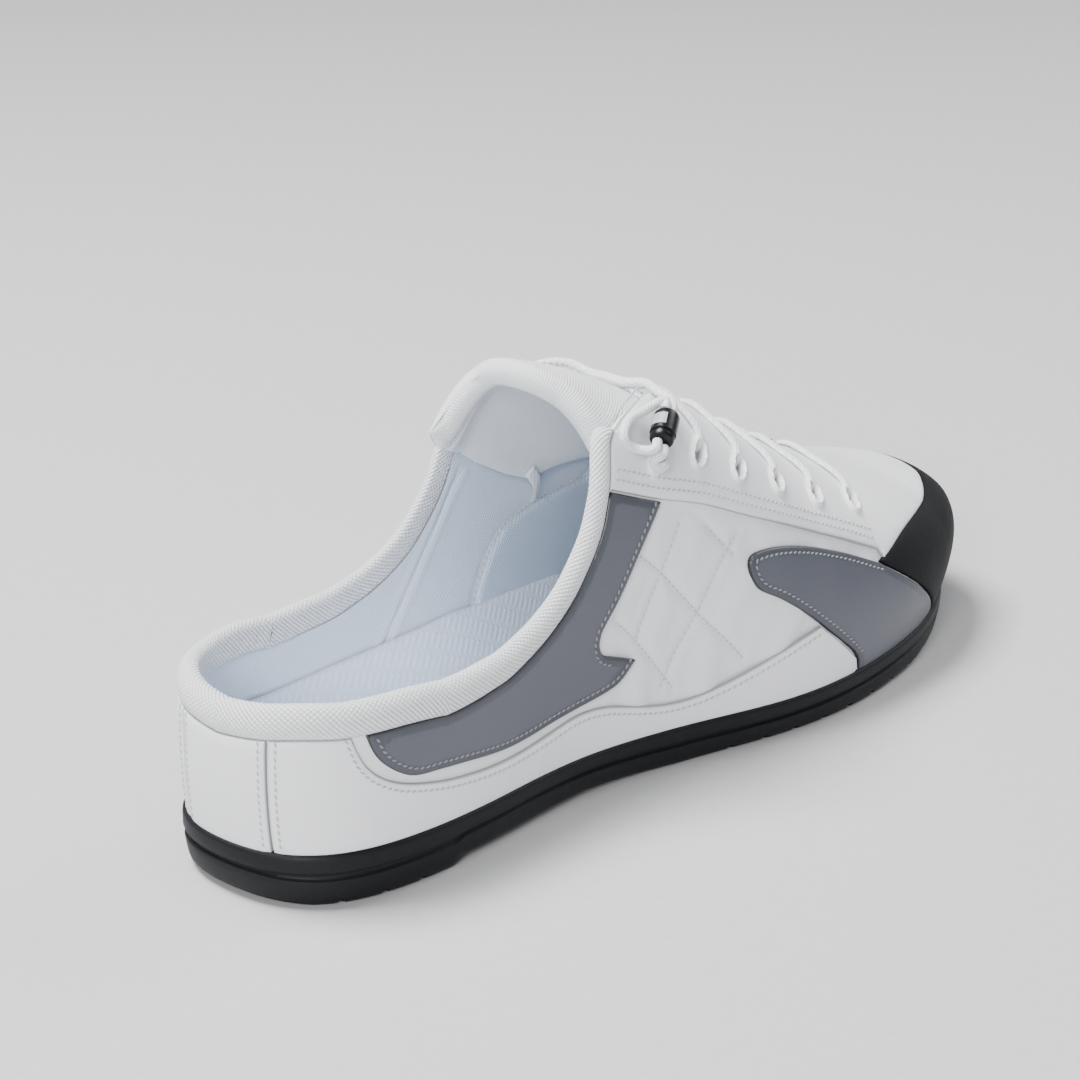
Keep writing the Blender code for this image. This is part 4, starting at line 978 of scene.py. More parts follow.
def quilt_lift(place, up):
    """Rise of the white quarter between its quilting seams, and the painted shade along the seams."""
    sizes = bpy.context.scene.mule_sizes
    spots = last(place, up).reshape(-1, 3)
    targets = [last(*row) for table in QUILTING for row in evenly(line(table), 0.0012)]
    mirror = [last(-row[0], row[1]) for table in QUILTING for row in evenly(line(table), 0.0012)]
    far = nearest(spots, np.array(targets + mirror)).reshape(np.shape(place))
    quarter = np.clip((np.abs(place) - 1.27) / 0.05, 0, 1) * np.clip((1.80 - np.abs(place)) / 0.10, 0, 1) \
        * np.clip((0.42 - up) / 0.05, 0, 1) * np.clip(up / 0.05, 0, 1)
    groove = -sizes.puff * np.exp(-(far / 0.0013) ** 2)
    swell = 0.8 * sizes.puff * (1 - np.exp(-(far / 0.0065) ** 2))
    wave = np.abs(place) * 62 - up * 21 + 0.9 * np.sin(up * 13)
    fold = 0.00034 * (np.sin(wave) + 0.5 * np.sin(1.9 * wave + up * 9)) * smooth(far, 0.0005, 0.005)
    # The second value is painted shade in the seams' grooves.
    return quarter * (groove + swell + fold - QUILT_SINK), quarter * 0.14 * np.exp(-(far / 0.0008) ** 2)


class MULE_OT_shell(bpy.types.Operator):
    """Shape the white shell with its quilted quarters"""
    bl_idname = "mule.shell"
    bl_label = "Shell"

    def execute(self, context):
        places = np.concatenate([np.linspace(0, 1.26, 90), np.linspace(1.27, 1.84, 190)[0:], np.linspace(1.85, 3, 110)])
        places = np.concatenate([-places[::-1][:-1], places])[:-1]
        top = shell_edge(places)

        def rows(count):
            up = np.linspace(0, 1, count)[None] * top[:, None]
            up[:, 0] = -0.003
            return np.repeat(places[:, None], count, 1), up

        place, up = rows(108)
        rise, shade = quilt_lift(place, up)
        outer = over(place, up, rise)
        place, up = rows(10)
        inner = over(place, up, np.full(up.shape, -WALL + 0.0003))
        grid = np.concatenate([outer, inner[:, ::-1]], axis=1)
        points, faces = woven_grid(grid, closed_rows=True, closed_columns=True, flip=True)
        rim = np.full(grid.shape[:2], 0.01)
        # Painted shade along the quilting seams on the outer face, none on the inner.
        shade = np.concatenate([shade, 0 * inner[:, :, 0]], axis=1)
        thing = new_mesh("quilted_shell", points, faces, FINISHES["white"], marks={"rim": rim.ravel(), "painted_shade": shade.ravel()})
        weld(thing)
        settle(thing, ["upper"])
        return {"FINISHED"}


def join_z(place, height, side=1):
    """The share up a rib where it passes a height."""
    low, high = 0.0, 1.0
    for _ in range(40):
        middle = (low + high) / 2
        if last(side * place, middle)[2] < height:
            low = middle
        else:
            high = middle
    return low


def cap_top(side, shift=0.0):
    """The toe cap's upper edge from the patch to the toe's tip."""
    start = line(TOE_CAP_UPPER, side, 160)
    height = last(*start[-1])[2]
    places = np.linspace(2.3, 3.0, 80)[1:]
    rest = np.array([(side * p, join_z(p, height, side)) for p in places])
    whole = np.concatenate([start, rest])
    return shifted(whole, side * shift) if shift else whole


def backstay_seam(across, side):
    """The seam beside the heel strip, from the collar down."""
    seam = []
    for share in np.linspace(1, 0, 40):
        low, high = 0.0, 1.0
        for _ in range(30):
            middle = (low + high) / 2
            up = shell_edge(np.array([middle]))[0] * share - 0.003 * (1 - share)
            if last(side * middle, up)[0] * side < across:
                low = middle
            else:
                high = middle
        seam.append((side * low, shell_edge(np.array([low]))[0] * share - 0.003 * (1 - share)))
    return np.array(seam)


TUCK = -0.003


class MULE_OT_toe_cap(bpy.types.Operator):
    """Stretch the black leather over the toe"""
    bl_idname = "mule.toe_cap"
    bl_label = "Toe Cap"

    def execute(self, context):
        loops = []
        for side in (1, -1):
            low = np.concatenate([line(TOE_CAP_LOWER, side), [(side * 1.938, TUCK)]])
            loops.append([
                (low, "edge"), (straight((1.938, TUCK), (3.0, TUCK), side), "tuck"),
                (straight((3.0, TUCK), (3.0, cap_top(side)[-1, 1]), side), "seam"), (cap_top(side)[::-1], "edge"),
                (straight(TOE_CAP_UPPER[0], TOE_CAP_LOWER[0], side, 2), "edge")])
        sewn("toe_leather", loops, OVERLAY, FINISHES["black"], ["toe_cap"])
        return {"FINISHED"}


class MULE_OT_patches(bpy.types.Operator):
    """Sew the grey patches beside the toe"""
    bl_idname = "mule.patches"
    bl_label = "Toe Patches"

    def execute(self, context):
        for side, name in ((1, "lateral"), (-1, "medial")):
            rounded = line([(1.722, TUCK)] + PATCH_LOWER[::-1] + PATCH_UPPER, side, 300)
            front = np.concatenate([line(TOE_CAP_LOWER, side), [(side * 1.938, TUCK)]])
            front = shifted(front, -side * SEAM)
            sides = [(rounded, "edge"), (straight(PATCH_UPPER[-1], np.abs(front[0]), side, 2), "edge"), (front, "edge"),
                     (straight(np.abs(front[-1]) * [1, -1] if front[-1, 1] < 0 else front[-1], (1.722, TUCK), side), "tuck")]
            sewn("grey_patch_" + name, [sides], OVERLAY, FINISHES["grey"], ["toe_patch_" + name])
        return {"FINISHED"}


class MULE_OT_foxing(bpy.types.Operator):
    """Sew the white strips along the sole and up the heel"""
    bl_idname = "mule.foxing"
    bl_label = "Foxing"

    def execute(self, context):
        half = BACKSTAY_WIDTH / 2
        for side, name in ((1, "lateral"), (-1, "medial")):
            seam = backstay_seam(half + SEAM, side)
            top = edge_line(abs(seam[0, 0]), 0.512, side)
            upper = line([(0.512, float(shell_edge(0.512)))] + FOXING_UPPER[1:], side, 300)
            front = np.concatenate([line(PATCH_LOWER[3:], side), [(side * 1.722, TUCK)]])
            front = shifted(front, -side * SEAM)
            sides = [(seam[::-1], "edge"), (top, "edge"), (upper, "edge"),
                     (straight(np.abs(upper[-1]), np.abs(front[0]), side, 2), "edge"), (front, "edge"),
                     (straight((abs(front[-1, 0]), TUCK), (abs(seam[-1, 0]), TUCK), side, 200), "tuck")]
            sewn("white_foxing_" + name, [sides], OVERLAY, FINISHES["white"], ["foxing_" + name])
        seams = [backstay_seam(half, side) for side in (1, -1)]
        sides = [(edge_line(seams[1][0, 0], seams[0][0, 0]), "edge"), (seams[0], "edge"),
                 (straight(seams[0][-1], seams[1][-1]), "tuck"), (seams[1][::-1], "edge")]
        sewn("heel_strip", [sides], OVERLAY + 0.0001, FINISHES["white"], ["heel_backstay"])
        return {"FINISHED"}


class MULE_OT_trims(bpy.types.Operator):
    """Sew the grey trims under the collar"""
    bl_idname = "mule.trims"
    bl_label = "Collar Trims"

    def execute(self, context):
        for side, name in ((1, "lateral"), (-1, "medial")):
            low = line(TRIM_LOWER, side, 240)
            front = line(TRIM_FRONT, side, 160)
            stay = shifted(line(EYESTAY_LOWER, side, 200), -side * SEAM)
            stay = stay[(np.abs(stay[:, 0]) > 1.309) & (np.abs(stay[:, 0]) < abs(front[-1, 0]) + 0.004)]
            top = edge_line(1.304, abs(low[0, 0]), side)
            sides = [(low, "edge"), (straight(np.abs(low[-1]), np.abs(front[0]), side, 3), "edge"), (front, "edge"),
                     (straight(np.abs(front[-1]), np.abs(stay[-1]), side, 2), "edge"), (stay[::-1], "edge"),
                     (straight(np.abs(stay[0]), np.abs(top[0]), side, 2), "edge"), (top, "edge")]
            sewn("grey_trim_" + name, [sides], OVERLAY, FINISHES["grey"], ["collar_trim_" + name])
        return {"FINISHED"}


class MULE_OT_eyestay(bpy.types.Operator):
    """Lay the eyestay and vamp with its moulded eyelets"""
    bl_idname = "mule.eyestay"
    bl_label = "Eyestay"

    def execute(self, context):
        loops = []
        for side in (1, -1):
            low = line(EYESTAY_LOWER, side, 240)
            cap = cap_top(side, -SEAM)
            cap = cap[np.abs(cap[:, 0]) > 1.80]
            cap[-1, 0] = side * 3.0
            throat = edge_line(1.9205, 1.306, side)
            sides = [(low, "edge"), (straight(np.abs(low[-1]), np.abs(cap[0]), side, 2), "edge"), (cap, "edge"),
                     (straight((3.0, cap[-1, 1]), (3.0, 1.0), side), "seam"),
                     (straight((3.0, 1.0), (1.9205, 1.0), side, 200), "seam"), (throat, "edge"),
                     (straight((1.306, float(shell_edge(1.306))), EYESTAY_LOWER[0], side, 2), "edge")]
            loops.append(sides)
        nodes = ["eyestay"] + [f"eyelet_{side}_{n}" for side in ("lateral", "medial") for n in range(1, 7)]
        middles = [(side * (a + c) / 2, (b + d) / 2) for a, b, c, d in EYELETS for side in (1, -1)]
        fine = [(spot, 7.5) for spot in to_sheet(np.array(middles))]
        sewn("white_eyestay", loops, OVERLAY, FINISHES["white"], nodes, relief=eyelet_relief, fine=fine)
        return {"FINISHED"}


def eyelet_relief(points):
    """Rise of the moulded rings with their hollows, and painted shade in each hollow, centred a little above its
    middle.
    """
    rise, painted_shade = np.zeros(len(points)), np.zeros(len(points))
    for side in (1, -1):
        for a, b, c, d in EYELETS:
            centre = last(side * (a + c) / 2, (b + d) / 2)
            up_way = last(side * c, d) - last(side * a, b)
            up_way /= np.linalg.norm(up_way)
            wide = np.cross(facing(side * (a + c) / 2, (b + d) / 2), up_way)
            rel = points - centre
            x, y = rel @ up_way, rel @ wide
            close = np.linalg.norm(rel, axis=1) < 0.012
            ring = np.hypot(x / (EYELET_LENGTH / 2), y / (EYELET_WIDTH / 2))
            lip = 0.00115 * np.exp(-((ring - 0.84) / 0.16) ** 2)
            dish = -0.00120 * (1 - smooth(ring, 0.34, 0.68))
            # Painted shade inside the ring, strongest a little above its middle
            painted_pit_shade = 1 - smooth(np.hypot((x - 0.0006) / 0.0042, y / 0.0021), 0.45, 1.0)
            rise += close * (lip + dish)
            painted_shade = np.maximum(painted_shade, close * painted_pit_shade)
    return rise, painted_shade


def smooth(values, low, high):
    share = np.clip((values - low) / (high - low), 0, 1)
    return share * share * (3 - 2 * share)


def smooth_loop(shape, count):
    """A rounded closed section through a few points."""
    shape = np.array(list(shape) + [shape[0]])
    knots = np.concatenate([[0.0], np.cumsum(np.sqrt(np.linalg.norm(np.diff(shape, axis=0), axis=1)))])
    return spline(knots, shape, np.linspace(0, knots[-1], count + 1)[:-1], closed=True)


class MULE_OT_collar(bpy.types.Operator):
    """Pad the knitted collar band"""
    bl_idname = "mule.collar"
    bl_label = "Collar Band"

    def execute(self, context):
        ends = 1.338
        places = np.linspace(-ends, ends, 560)
        grid, across = [], []
        near = 0.004
        for place in places:
            share = min(max((abs(place) - 1) / (COLLAR_FRONT - 1), 0), 1)
            fade = min((ends - abs(place)) / 0.012, 1.0) ** 0.5 if abs(place) < ends else 0.05
            fade = max(fade, 0.12)
            tall = (0.0085 + (0.0055 - 0.0085) * share) * fade
            inner = -WALL - 0.0020 * (1 - share)
            up_here = shell_edge(np.array([abs(place)]))[0]
            here = last(place, up_here)
            along = last(place + near, shell_edge(np.array([place + near]))[0]) - last(place - near, shell_edge(np.array([place - near]))[0])
            out = facing(place, up_here)
            along /= np.linalg.norm(along)
            rise = np.cross(out, along)
            rise /= np.linalg.norm(rise)
            # Section of the band: up (m), out (m)
            shape = [(-0.0002, -0.0002), (0.0004, 0.0010), (tall * 0.35, 0.0017), (tall * 0.70, 0.0014), (tall * 0.94, 0.0002),
                     (tall, -WALL * 0.65), (tall * 0.93, inner * 0.82), (tall * 0.62, inner * 1.02), (tall * 0.25, inner),
                     (0.0004, inner * 0.92), (-0.0002, -WALL)]
            section = smooth_loop(shape, 28)
            grid.append(here + section[:, :1] * rise + section[:, 1:] * out)
            walk = np.concatenate([[0], np.cumsum(np.linalg.norm(np.diff(section, axis=0), axis=1))])
            across.append(walk)
        grid = np.array(grid)
        points, faces = woven_grid(grid, closed_columns=True)
        count = grid.shape[1]
        faces.append(tuple(range(count)))
        faces.append(tuple(reversed(range((len(places) - 1) * count, len(places) * count))))
        middle = grid.mean(1)
        walk = np.concatenate([[0], np.cumsum(np.linalg.norm(np.diff(middle, axis=0), axis=1))])
        along = np.repeat(walk[:, None], count, 1)
        thing = new_mesh("knit_collar", points, faces, FINISHES["knit"], marks={"along": along.ravel(), "across": np.array(across).ravel()})
        outwards(thing)
        settle(thing, ["collar_band"])
        return {"FINISHED"}


def outwards(thing):
    """Turn a closed piece's faces outwards."""
    work = bmesh.new()
    work.from_mesh(thing.data)
    bmesh.ops.recalc_face_normals(work, faces=work.faces)
    work.to_mesh(thing.data)
    work.free()
    thing.data.shade_smooth()


class MULE_OT_tongue(bpy.types.Operator):
    """Pad the tongue with its rolled end and the wings that lie inside the collar"""
    bl_idname = "mule.tongue"
    bl_label = "Tongue"

    def execute(self, context):
        span = (TOE_AXIS - HEEL_AXIS) * LENGTH
        tip, radius = 1.83, TONGUE_ROLL / 2
        shares = np.sin(np.linspace(-np.pi / 2, np.pi / 2, 81))
        begin = np.interp(shares, TONGUE_BACK[0], TONGUE_BACK[1])
        # Distances from the rolled end (m), close together round the roll
        far = np.concatenate([radius * (1 - np.cos(np.linspace(0, np.pi / 2, 14))), radius + np.linspace(0, 0.012, 22)[1:],
                              radius + 0.012 + np.linspace(0, 0.098, 70)[1:]])
        part = far / far[-1]
        grid, along = [], []
        for row, away in zip(part, far):
            place = begin + row * (tip - begin)
            foot = np.where(shares < 0, np.interp(place, *INNER_WING), np.interp(place, *OUTER_WING))
            up = 1 - np.abs(shares) * (1 - foot)
            if away < radius:
                thick = 2 * math.sqrt(max(radius ** 2 - (radius - away) ** 2, 1e-9))
                middle = radius
            else:
                thick = np.interp(away - radius, [0, 0.003, 0.007, 0.011, 0.09, 0.11], [2 * radius, 0.0066, 0.0046, 0.0035, 0.0030, 0.0004])
                middle = thick / 2
            puff = 0.0004 * np.sin(np.pi * np.clip((away - 0.010) / 0.05, 0, 1)) * np.cos(shares * np.pi / 2)
            edge = np.sqrt(np.clip(1 - np.abs(shares) ** 14, 0, 1)) * thick / 2
            centre = WALL + TONGUE_PLAY + middle - puff
            places = np.where(shares < 0, -place, place)
            seam = 0.0008 * math.exp(-((away - 0.0062) / 0.0008) ** 2)
            outer = over(places, up, -(centre - edge))
            inner = over(places, up, -(centre + np.maximum(edge - seam, 0)))
            grid.append(np.concatenate([outer, inner[::-1][1:-1]]))
            along.append(away)
        grid = np.array(grid)
        points, faces = woven_grid(grid, closed_columns=True)
        rows, count = grid.shape[:2]
        faces.append(tuple(range(count)))
        faces.append(tuple(reversed(range((rows - 1) * count, rows * count))))
        walk = np.concatenate([[0], np.cumsum(np.linalg.norm(np.diff(grid[40], axis=0), axis=1))])
        marks = {"along": np.repeat(np.array(along)[:, None], count, 1).ravel(), "across": np.repeat(walk[None], rows, 0).ravel()}
        thing = new_mesh("padded_tongue", points, faces, FINISHES["tongue"], marks=marks)
        outwards(thing)
        settle(thing, ["tongue"])
        for side, name in ((1, "lateral"), (-1, "medial")):
            path = cord_points(spot_points([(side * p, u, h) for p, u, h in GORE]), 0.0006)
            flat = np.gradient(path, axis=0)
            points, faces = tube(path, 0.0019, 0.30, flatways=np.cross(facing(side * 1.46, 0.35), flat), turns=16)
            strip = new_mesh("elastic_strip_" + name, points, faces, FINISHES["elastic"])
            outwards(strip)
            settle(strip, ())
        return {"FINISHED"}


# Back end of the tongue by its share across, and the ups of its wings' edges by place
TONGUE_BACK = ((-1.0, -0.75, -0.4, 0.0, 0.45, 1.0), (1.226, 1.250, 1.282, 1.288, 1.318, 1.334))
INNER_WING = ((1.220, 1.243, 1.274, 1.331, 1.396, 1.450, 1.60, 1.83), (0.540, 0.472, 0.436, 0.393, 0.368, 0.365, 0.52, 0.84))
OUTER_WING = ((1.320, 1.360, 1.420, 1.500, 1.60, 1.83), (0.500, 0.440, 0.400, 0.410, 0.52, 0.84))
GORE = [(1.436, 0.392, -0.0068), (1.452, 0.366, -0.0070), (1.468, 0.343, -0.0050), (1.481, 0.322, -0.0030), (1.486, 0.313, -0.0021)]


class MULE_OT_lining(bpy.types.Operator):
    """Line the inside"""
    bl_idname = "mule.lining"
    bl_label = "Lining"

    def execute(self, context):
        places = np.concatenate([np.linspace(0, 1.15, 80), np.linspace(1.16, 1.62, 220), np.linspace(1.63, 3, 90)])
        places = np.concatenate([-places[::-1][:-1], places])[:-1]
        shares = np.linspace(0.02, 1, 90)
        place = np.repeat(places[:, None], len(shares), 1)
        top = shell_edge(places)
        up = shares[None] * (top[:, None] - 0.004)
        seam = np.interp(up, SIDE_SEAM[0], SIDE_SEAM[1])
        arc = np.interp(up, VAMP_ARC[0], VAMP_ARC[1])
        span = (TOE_AXIS - HEEL_AXIS) * LENGTH
        past = (np.abs(place) - arc) * span
        beside = (np.abs(place) - seam) * span
        forward = 0.0008 * smooth(past, 0.0, 0.0022) - 0.0004 * np.exp(-((past + 0.0012) / 0.0012) ** 2)
        groove = -0.0005 * np.exp(-(beside / 0.0009) ** 2) + 0.0003 * np.exp(-((np.abs(beside) - 0.0026) / 0.0015) ** 2)
        soft = 0.0005 * np.sin(place * 9 + up * 14) * np.clip((0.9 - up) / 0.3, 0, 1) * (np.abs(place) > 1)
        grid = over(place, up, -(WALL - 0.0001 + forward + groove * (up < 0.37) + 0.0002 + 0.4 * np.abs(soft)))
        points, faces = woven_grid(grid, closed_rows=True)
        walk = np.interp(place, STATIONS, WALK)
        # Mask of the vamp colour: partly the vamp cloth, partly painted shade towards the toe.
        vamp = smooth(past, 0.0, 0.0030)
        thing = new_mesh("lining", points, faces, FINISHES["lining"], marks={
            "along": walk.ravel(), "across": (up * RIB_LENGTH).ravel(), "vamp": vamp.ravel()})
        settle(thing, ())
        return {"FINISHED"}


# Seams of the lining, as places by up
SIDE_SEAM = ((0.05, 0.132, 0.179, 0.228, 0.280, 0.344, 0.42), (1.160, 1.204, 1.230, 1.256, 1.283, 1.310, 1.335))
VAMP_ARC = ((0.0, 0.109, 0.133, 0.181, 0.236, 0.275, 0.317, 0.40, 1.0), (1.34, 1.347, 1.354, 1.375, 1.408, 1.453, 1.51, 1.60, 1.80))


def foot_ring(places, inset):
    loop = outline(inset)
    return np.array([footing(place, loop) for place in places])


class MULE_OT_insole(bpy.types.Operator):
    """Lay the footbed"""
    bl_idname = "mule.insole"
    bl_label = "Footbed"

    def execute(self, context):
        places = np.concatenate([np.linspace(-3, -1, 260)[:-1], np.linspace(-1, 1, 240)[:-1], np.linspace(1, 3, 260)[:-1]])
        inset = FEATHER_INSET + WALL + INSOLE_PLAY
        low_ring = foot_ring(places, inset)
        grid = [np.column_stack([low_ring[:, :2], sole_top(low_ring[:, 1]) + CLEARANCE])]
        # The cupped edge lies on the lining: share of its height, depth under the upper's face (m)
        rise = np.interp(np.abs(places), [0, 0.83, 1.05, 1.35, 1.525, 1.9, 2.1, 3], [0.100, 0.104, 0.100, 0.111, 0.127, 0.10, 0.07, 0.06])
        for share, depth in ((0.10, 0.0026), (0.97, 0.0024), (1.0, 0.0027), (1.0, 0.0032), (0.975, 0.0037), (0.93, 0.0040),
                             (0.8, 0.0042), (0.65, 0.0044), (0.5, 0.0048)):
            grid.append(over(places, rise * share, np.full(len(places), -depth)))
        wall_foot = grid[-1]
        edge = foot_ring(places, inset + 0.0075)
        flat_top = np.column_stack([edge[:, :2], sole_top(edge[:, 1]) + CLEARANCE + INSOLE_THICK])
        corner = np.column_stack([foot_ring(places, inset + 0.0012)[:, :2], flat_top[:, 2] + 0.0006])
        for t in np.linspace(0, 1, 9)[1:]:
            grid.append((1 - t) ** 2 * wall_foot + 2 * (1 - t) * t * corner + t * t * flat_top)
        for share in np.linspace(0, 1, 30)[1:]:
            xy = edge[:, :2] + (edge[:, 2:] - edge[:, :2]) * share
            dish = 0.0008 * math.sin(math.pi / 2 * share)
            grid.append(np.column_stack([xy, sole_top(xy[:, 1]) + CLEARANCE + INSOLE_THICK - dish]))
        points, faces = woven_grid(np.array(grid), closed_columns=True)
        faces.append(tuple(range(len(places))))
        thing = new_mesh("footbed", points, faces, FINISHES["footbed"])
        weld(thing, 1e-5, 60)
        outwards(thing)
        settle(thing, ["insole"])
        return {"FINISHED"}


class MULE_OT_outsole(bpy.types.Operator):
    """Mould the black sole with its grooved edge and tread"""
    bl_idname = "mule.outsole"
    bl_label = "Sole"

    def execute(self, context):
        places = np.concatenate([np.linspace(0, 1, 150)[:-1], np.linspace(1, 2, 380)[:-1], np.linspace(2, 3, 150)])
        places = np.concatenate([places, -places[::-1][1:-1]])
        # Side of the sole: down (share of its thickness), inset (m)
        steps = [(0.0, 0.0030), (0.0, 0.0010), (0.012, 0.0005), (0.05, 0.0001), (0.10, 0.0), (0.20, 0.0), (0.30, 0.0), (0.335, 0.0002),
                 (0.355, 0.0009), (0.38, 0.0012), (0.44, 0.0012), (0.465, 0.0009), (0.49, 0.0004), (0.53, 0.0003), (0.62, 0.0005),
                 (0.72, 0.0007), (0.82, 0.0010), (0.90, 0.0014), (0.95, 0.0020), (0.985, 0.0028), (1.0, 0.0036)]
        grid = []
        for down, inset in steps:
            ring = foot_ring(places, inset)
            grid.append(self.lower(ring[:, :2], down))
        edge = foot_ring(places, 0.0036)
        for share in np.linspace(0, 1, 34)[1:]:
            xy = edge[:, :2] + (edge[:, 2:] - edge[:, :2]) * share
            grid.append(self.lower(xy, 1.0))
        top = foot_ring(places, 0.0030)
        middle = top[:, 2:]
        grid = [np.column_stack([middle, sole_top(middle[:, 1])])] + grid
        points, faces = woven_grid(np.array(grid), closed_columns=True)
        thing = new_mesh("cup_sole", points, faces, FINISHES["rubber"])
        weld(thing, 1e-5, 42)
        outwards(thing)
        thing.data.set_sharp_from_angle(angle=math.radians(42))
        settle(thing, ["outsole"])
        return {"FINISHED"}

    def lower(self, xy, down):
        """The sole's surface at a share down its side, with the grooves across its tread."""
        y = xy[:, 1]
        z = sole_top(y) + (sole_bottom(y) - sole_top(y)) * down
        for start, end in ((0.050, 0.150), (0.520, 0.960)):
            into = y - start * LENGTH
            phase = into % TREAD_PITCH
            cut = (into >= 0) & (y < end * LENGTH + TREAD_CUT) & (phase < TREAD_CUT)
            z = np.where(cut, np.maximum(z, sole_bottom(y) + TREAD_DEPTH), z)
        return np.column_stack([xy, z])


class MULE_OT_lace_bars(bpy.types.Operator):
    """Thread the lace across the throat"""
    bl_idname = "mule.lace_bars"
    bl_label = "Lace Bars"

    def execute(self, context):
        lift = CLEARANCE * 2 + OVERLAY + LACE_FLAT * 0.4
        on_tongue = CLEARANCE + LACE_FLAT * 0.4 - WALL - TONGUE_PLAY
        for number, row in enumerate(EYELETS[1:], 2):
            high_place, high_up = row[2], row[3]
            edge = float(shell_edge(np.array([high_place]))[0])
            open_half = np.linalg.norm(last(high_place, 1.0) - last(high_place, edge))
            sag = min(lift - on_tongue, 0.45 * (open_half - LACE_FLAT))
            hole_place, hole_up = row[0] + (row[2] - row[0]) * 0.66, row[1] + (row[3] - row[1]) * 0.66
            start = [(hole_place, hole_up, -0.0004), (hole_place + (high_place - hole_place) * 0.5, hole_up + 0.020, 0.0011)]
            rest = [(high_place, up, lift) for up in np.linspace(high_up + 0.03, edge, 4)]
            rest += [(high_place, edge + (1 - edge) * along, lift - sag * low) for along, low in ((0.35, 0.40), (0.7, 0.85))]
            near = [over(*spot) for spot in start + rest]
            crest = (over(high_place, 1.0, lift - sag) + over(-high_place, 1.0, lift - sag)) / 2
            far = [over(-p, u, h) for p, u, h in (start + rest)[::-1]]
            path = cord_points(near + [crest] + far, 0.0009)
            flat = np.tile([0.0, 1.0, 0.0], (len(path), 1))
            points, faces = tube(path, LACE * 0.46, 0.62, flatways=flat, turns=14)
            thing = new_mesh(f"lace_cross_{number}", points, faces, FINISHES["lace"])
            outwards(thing)
            settle(thing, [f"lace_bar_{number}"])
        return {"FINISHED"}


# Stitching

def stitch_tree():
    """Thread stitches set along a line of points, each turned a little from the line."""
    tree = bpy.data.node_groups.new("Stitch Row", "GeometryNodeTree")
    sockets = {}
    for label, kind, default in (("Geometry", "Geometry", None), ("Stitch", "Float", 0.0019), ("Thread", "Float", 0.0004),
                                 ("Slant", "Float", 0.16), ("Finish", "Material", None)):
        socket = tree.interface.new_socket(name=label, in_out="INPUT", socket_type="NodeSocket" + kind)
        if default is not None:
            socket.default_value = default
        sockets[label] = socket.identifier
    tree.interface.new_socket(name="Geometry", in_out="OUTPUT", socket_type="NodeSocketGeometry")
    given = tree.nodes.new("NodeGroupInput").outputs
    out = tree.nodes.new("NodeGroupOutput").inputs

    def made(kind, inputs=None, **settings):
        step = tree.nodes.new(kind)
        for key, value in settings.items():
            setattr(step, key, value)
        for key, value in (inputs or {}).items():
            if isinstance(value, bpy.types.NodeSocket):
                tree.links.new(value, step.inputs[key])
            else:
                step.inputs[key].default_value = value
        return step.outputs

    curve = made("GeometryNodeMeshToCurve", {"Mesh": given["Geometry"]})
    even = made("GeometryNodeResampleCurve", {"Curve": curve[0], "Length": given["Stitch"]}, mode="LENGTH")
    points = made("GeometryNodeCurveToPoints", {"Curve": even[0]}, mode="EVALUATED")
    normal = made("GeometryNodeInputNamedAttribute", {"Name": "lean"}, data_type="FLOAT_VECTOR")
    first = made("FunctionNodeAlignRotationToVector", {"Vector": points["Tangent"]}, axis="X")
    second = made("FunctionNodeAlignRotationToVector", {"Rotation": first[0], "Vector": normal[0]}, axis="Z", pivot_axis="X")
    tilt = made("ShaderNodeCombineXYZ", {"Z": given["Slant"]})
    turned = made("FunctionNodeRotateRotation", {"Rotation": second[0], "Rotate By": tilt[0]}, rotation_space="LOCAL")
    bead = made("GeometryNodeMeshUVSphere", {"Segments": 8, "Rings": 5, "Radius": 0.5})
    long = made("ShaderNodeMath", {0: given["Stitch"], 1: 0.80}, operation="MULTIPLY")
    size = made("ShaderNodeCombineXYZ", {"X": long[0], "Y": given["Thread"], "Z": given["Thread"]})
    shape = made("GeometryNodeTransform", {"Geometry": bead[0], "Scale": size[0]})
    sewn_on = made("GeometryNodeInstanceOnPoints", {"Points": points["Points"], "Instance": shape[0], "Rotation": turned[0]})
    real = made("GeometryNodeRealizeInstances", {"Geometry": sewn_on[0]})
    dressed = made("GeometryNodeSetMaterial", {"Geometry": real[0], "Material": given["Finish"]})
    tree.links.new(dressed[0], out["Geometry"])
    return tree, sockets


def sew(name, rows, lift, finish, stitch=None, slant=0.16, thread=None):
    """Stitch rows of spots onto the shoe as one plain mesh."""
    sizes = bpy.context.scene.mule_sizes
    points, edges, leans = [], [], []
    for row in rows:
        row = evenly(row, 0.0008)
        start = len(points)
        points += list(over(row[:, 0], row[:, 1], np.full(len(row), lift)) - MIDDLE)
        leans += list(facing(row[:, 0], row[:, 1]))
        edges += [(n, n + 1) for n in range(start, len(points) - 1)]
    mesh = bpy.data.meshes.new(name + " line")
    mesh.from_pydata([tuple(p) for p in points], edges, [])
    mesh.attributes.new("lean", "FLOAT_VECTOR", "POINT").data.foreach_set("vector", np.array(leans, np.float32).ravel())
    guide = bpy.data.objects.new(name + " line", mesh)
    bpy.context.scene.collection.objects.link(guide)
    if "tree" not in STITCHING:
        STITCHING["tree"] = stitch_tree()
    tree, sockets = STITCHING["tree"]
    change = guide.modifiers.new("Stitches", "NODES")
    change.node_group = tree
    change[sockets["Stitch"]] = stitch or sizes.stitch
    change[sockets["Thread"]] = thread or sizes.thread
    change[sockets["Slant"]] = slant
    change[sockets["Finish"]] = finish
    bpy.context.view_layer.update()
    result = bpy.data.meshes.new_from_object(guide.evaluated_get(bpy.context.evaluated_depsgraph_get()))
    result.name = name
    bpy.data.objects.remove(guide)
    result.shade_smooth()
    thing = bpy.data.objects.new(name, result)
    bpy.context.scene.collection.objects.link(thing)
    settle(thing, ())


STITCHING = {}


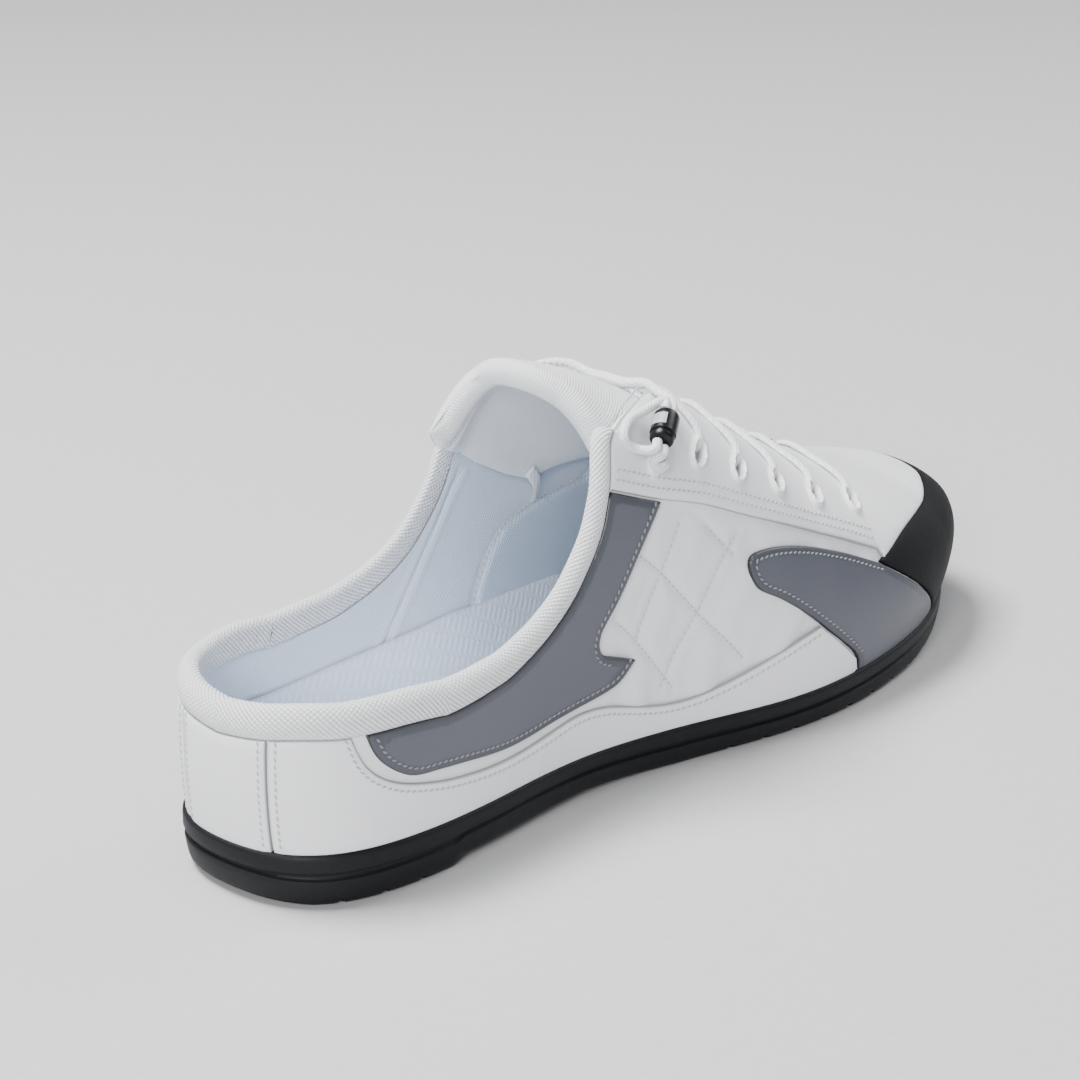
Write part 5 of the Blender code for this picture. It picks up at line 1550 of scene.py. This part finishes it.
class MULE_OT_stitches(bpy.types.Operator):
    """Sew the rows of stitches"""
    bl_idname = "mule.stitches"
    bl_label = "Stitches"

    def execute(self, context):
        lift = CLEARANCE + OVERLAY + 0.00006
        half = BACKSTAY_WIDTH / 2
        sizes = context.scene.mule_sizes
        grey, white, quilt, inside_rows = [], [], [], []
        for side in (1, -1):
            inner = shifted(line(TRIM_LOWER, side, 240), side * 0.0021)[8:-3]
            front = shifted(line(TRIM_FRONT, side, 200), side * 0.0021)[3:]
            grey += [inner, front]
            patch = shifted(line(PATCH_LOWER[::-1] + PATCH_UPPER, side, 300), side * -0.0020)
            grey.append(patch)
            upper = shifted(line(FOXING_UPPER, side, 300), side * -0.0018)
            white.append(upper)
            for aside in (0.0028, 0.0055):
                stay = shifted(line(EYESTAY_LOWER, side, 240), side * aside)
                white.append(stay[5:-5])
            for across in (half - 0.0017, half + SEAM + 0.0018):
                white.append(backstay_seam(across, side)[1:-3])
            edge = shifted(edge_line(1.345, 1.88, side), side * 0.0022)
            white.append(edge)
            quilt += [line(table, side) for table in QUILTING]
            arc = np.array([(np.interp(u, *VAMP_ARC), u) for u in np.linspace(0.12, 0.42, 60)]) * [side, 1]
            inside_rows.append(shifted(arc, side * 0.0016))
        sew("grey_stitches", grey, lift, FINISHES["grey thread"], slant=0.32)
        sew("white_stitches", white, lift, FINISHES["thread"], slant=0.32)
        sew("quilt_stitches", quilt, 0.00006 - sizes.puff - QUILT_SINK,FINISHES["thread"], slant=0.0, thread=0.0004)
        sew("lining_stitches", inside_rows, -WALL - 0.0009, FINISHES["thread"], slant=0.0, thread=0.0004)
        return {"FINISHED"}


class MULE_PT_panel(bpy.types.Panel):
    """Lists the mule's pieces"""
    bl_label = "Sneaker Mule"
    bl_idname = "MULE_PT_panel"
    bl_space_type = "VIEW_3D"
    bl_region_type = "UI"
    bl_category = "Mule"

    def draw(self, context):
        for name in MuleSizes.__annotations__:
            self.layout.prop(context.scene.mule_sizes, name)
        for name in MuleColours.__annotations__:
            self.layout.prop(context.scene.mule_colours, name)
        for piece in PIECES:
            self.layout.operator(piece.bl_idname)


PIECES = (MULE_OT_finishes, MULE_OT_stage, MULE_OT_free_lace, MULE_OT_lock, MULE_OT_shell, MULE_OT_lining, MULE_OT_insole,
          MULE_OT_outsole, MULE_OT_collar, MULE_OT_tongue, MULE_OT_eyestay, MULE_OT_toe_cap, MULE_OT_patches, MULE_OT_foxing,
          MULE_OT_trims, MULE_OT_lace_bars, MULE_OT_stitches)
CLASSES = (MuleSizes, MuleColours) + PIECES + (MULE_PT_panel,)


def register():
    for made in CLASSES:
        bpy.utils.register_class(made)
    bpy.types.Scene.mule_sizes = PointerProperty(type=MuleSizes)
    bpy.types.Scene.mule_colours = PointerProperty(type=MuleColours)


def unregister():
    del bpy.types.Scene.mule_sizes, bpy.types.Scene.mule_colours
    for made in reversed(CLASSES):
        bpy.utils.unregister_class(made)


def main():
    register()
    for piece in PIECES:
        getattr(bpy.ops.mule, piece.bl_idname.split(".")[1])()
    bpy.context.view_layer.update()


if __name__ == "__main__":
    main()
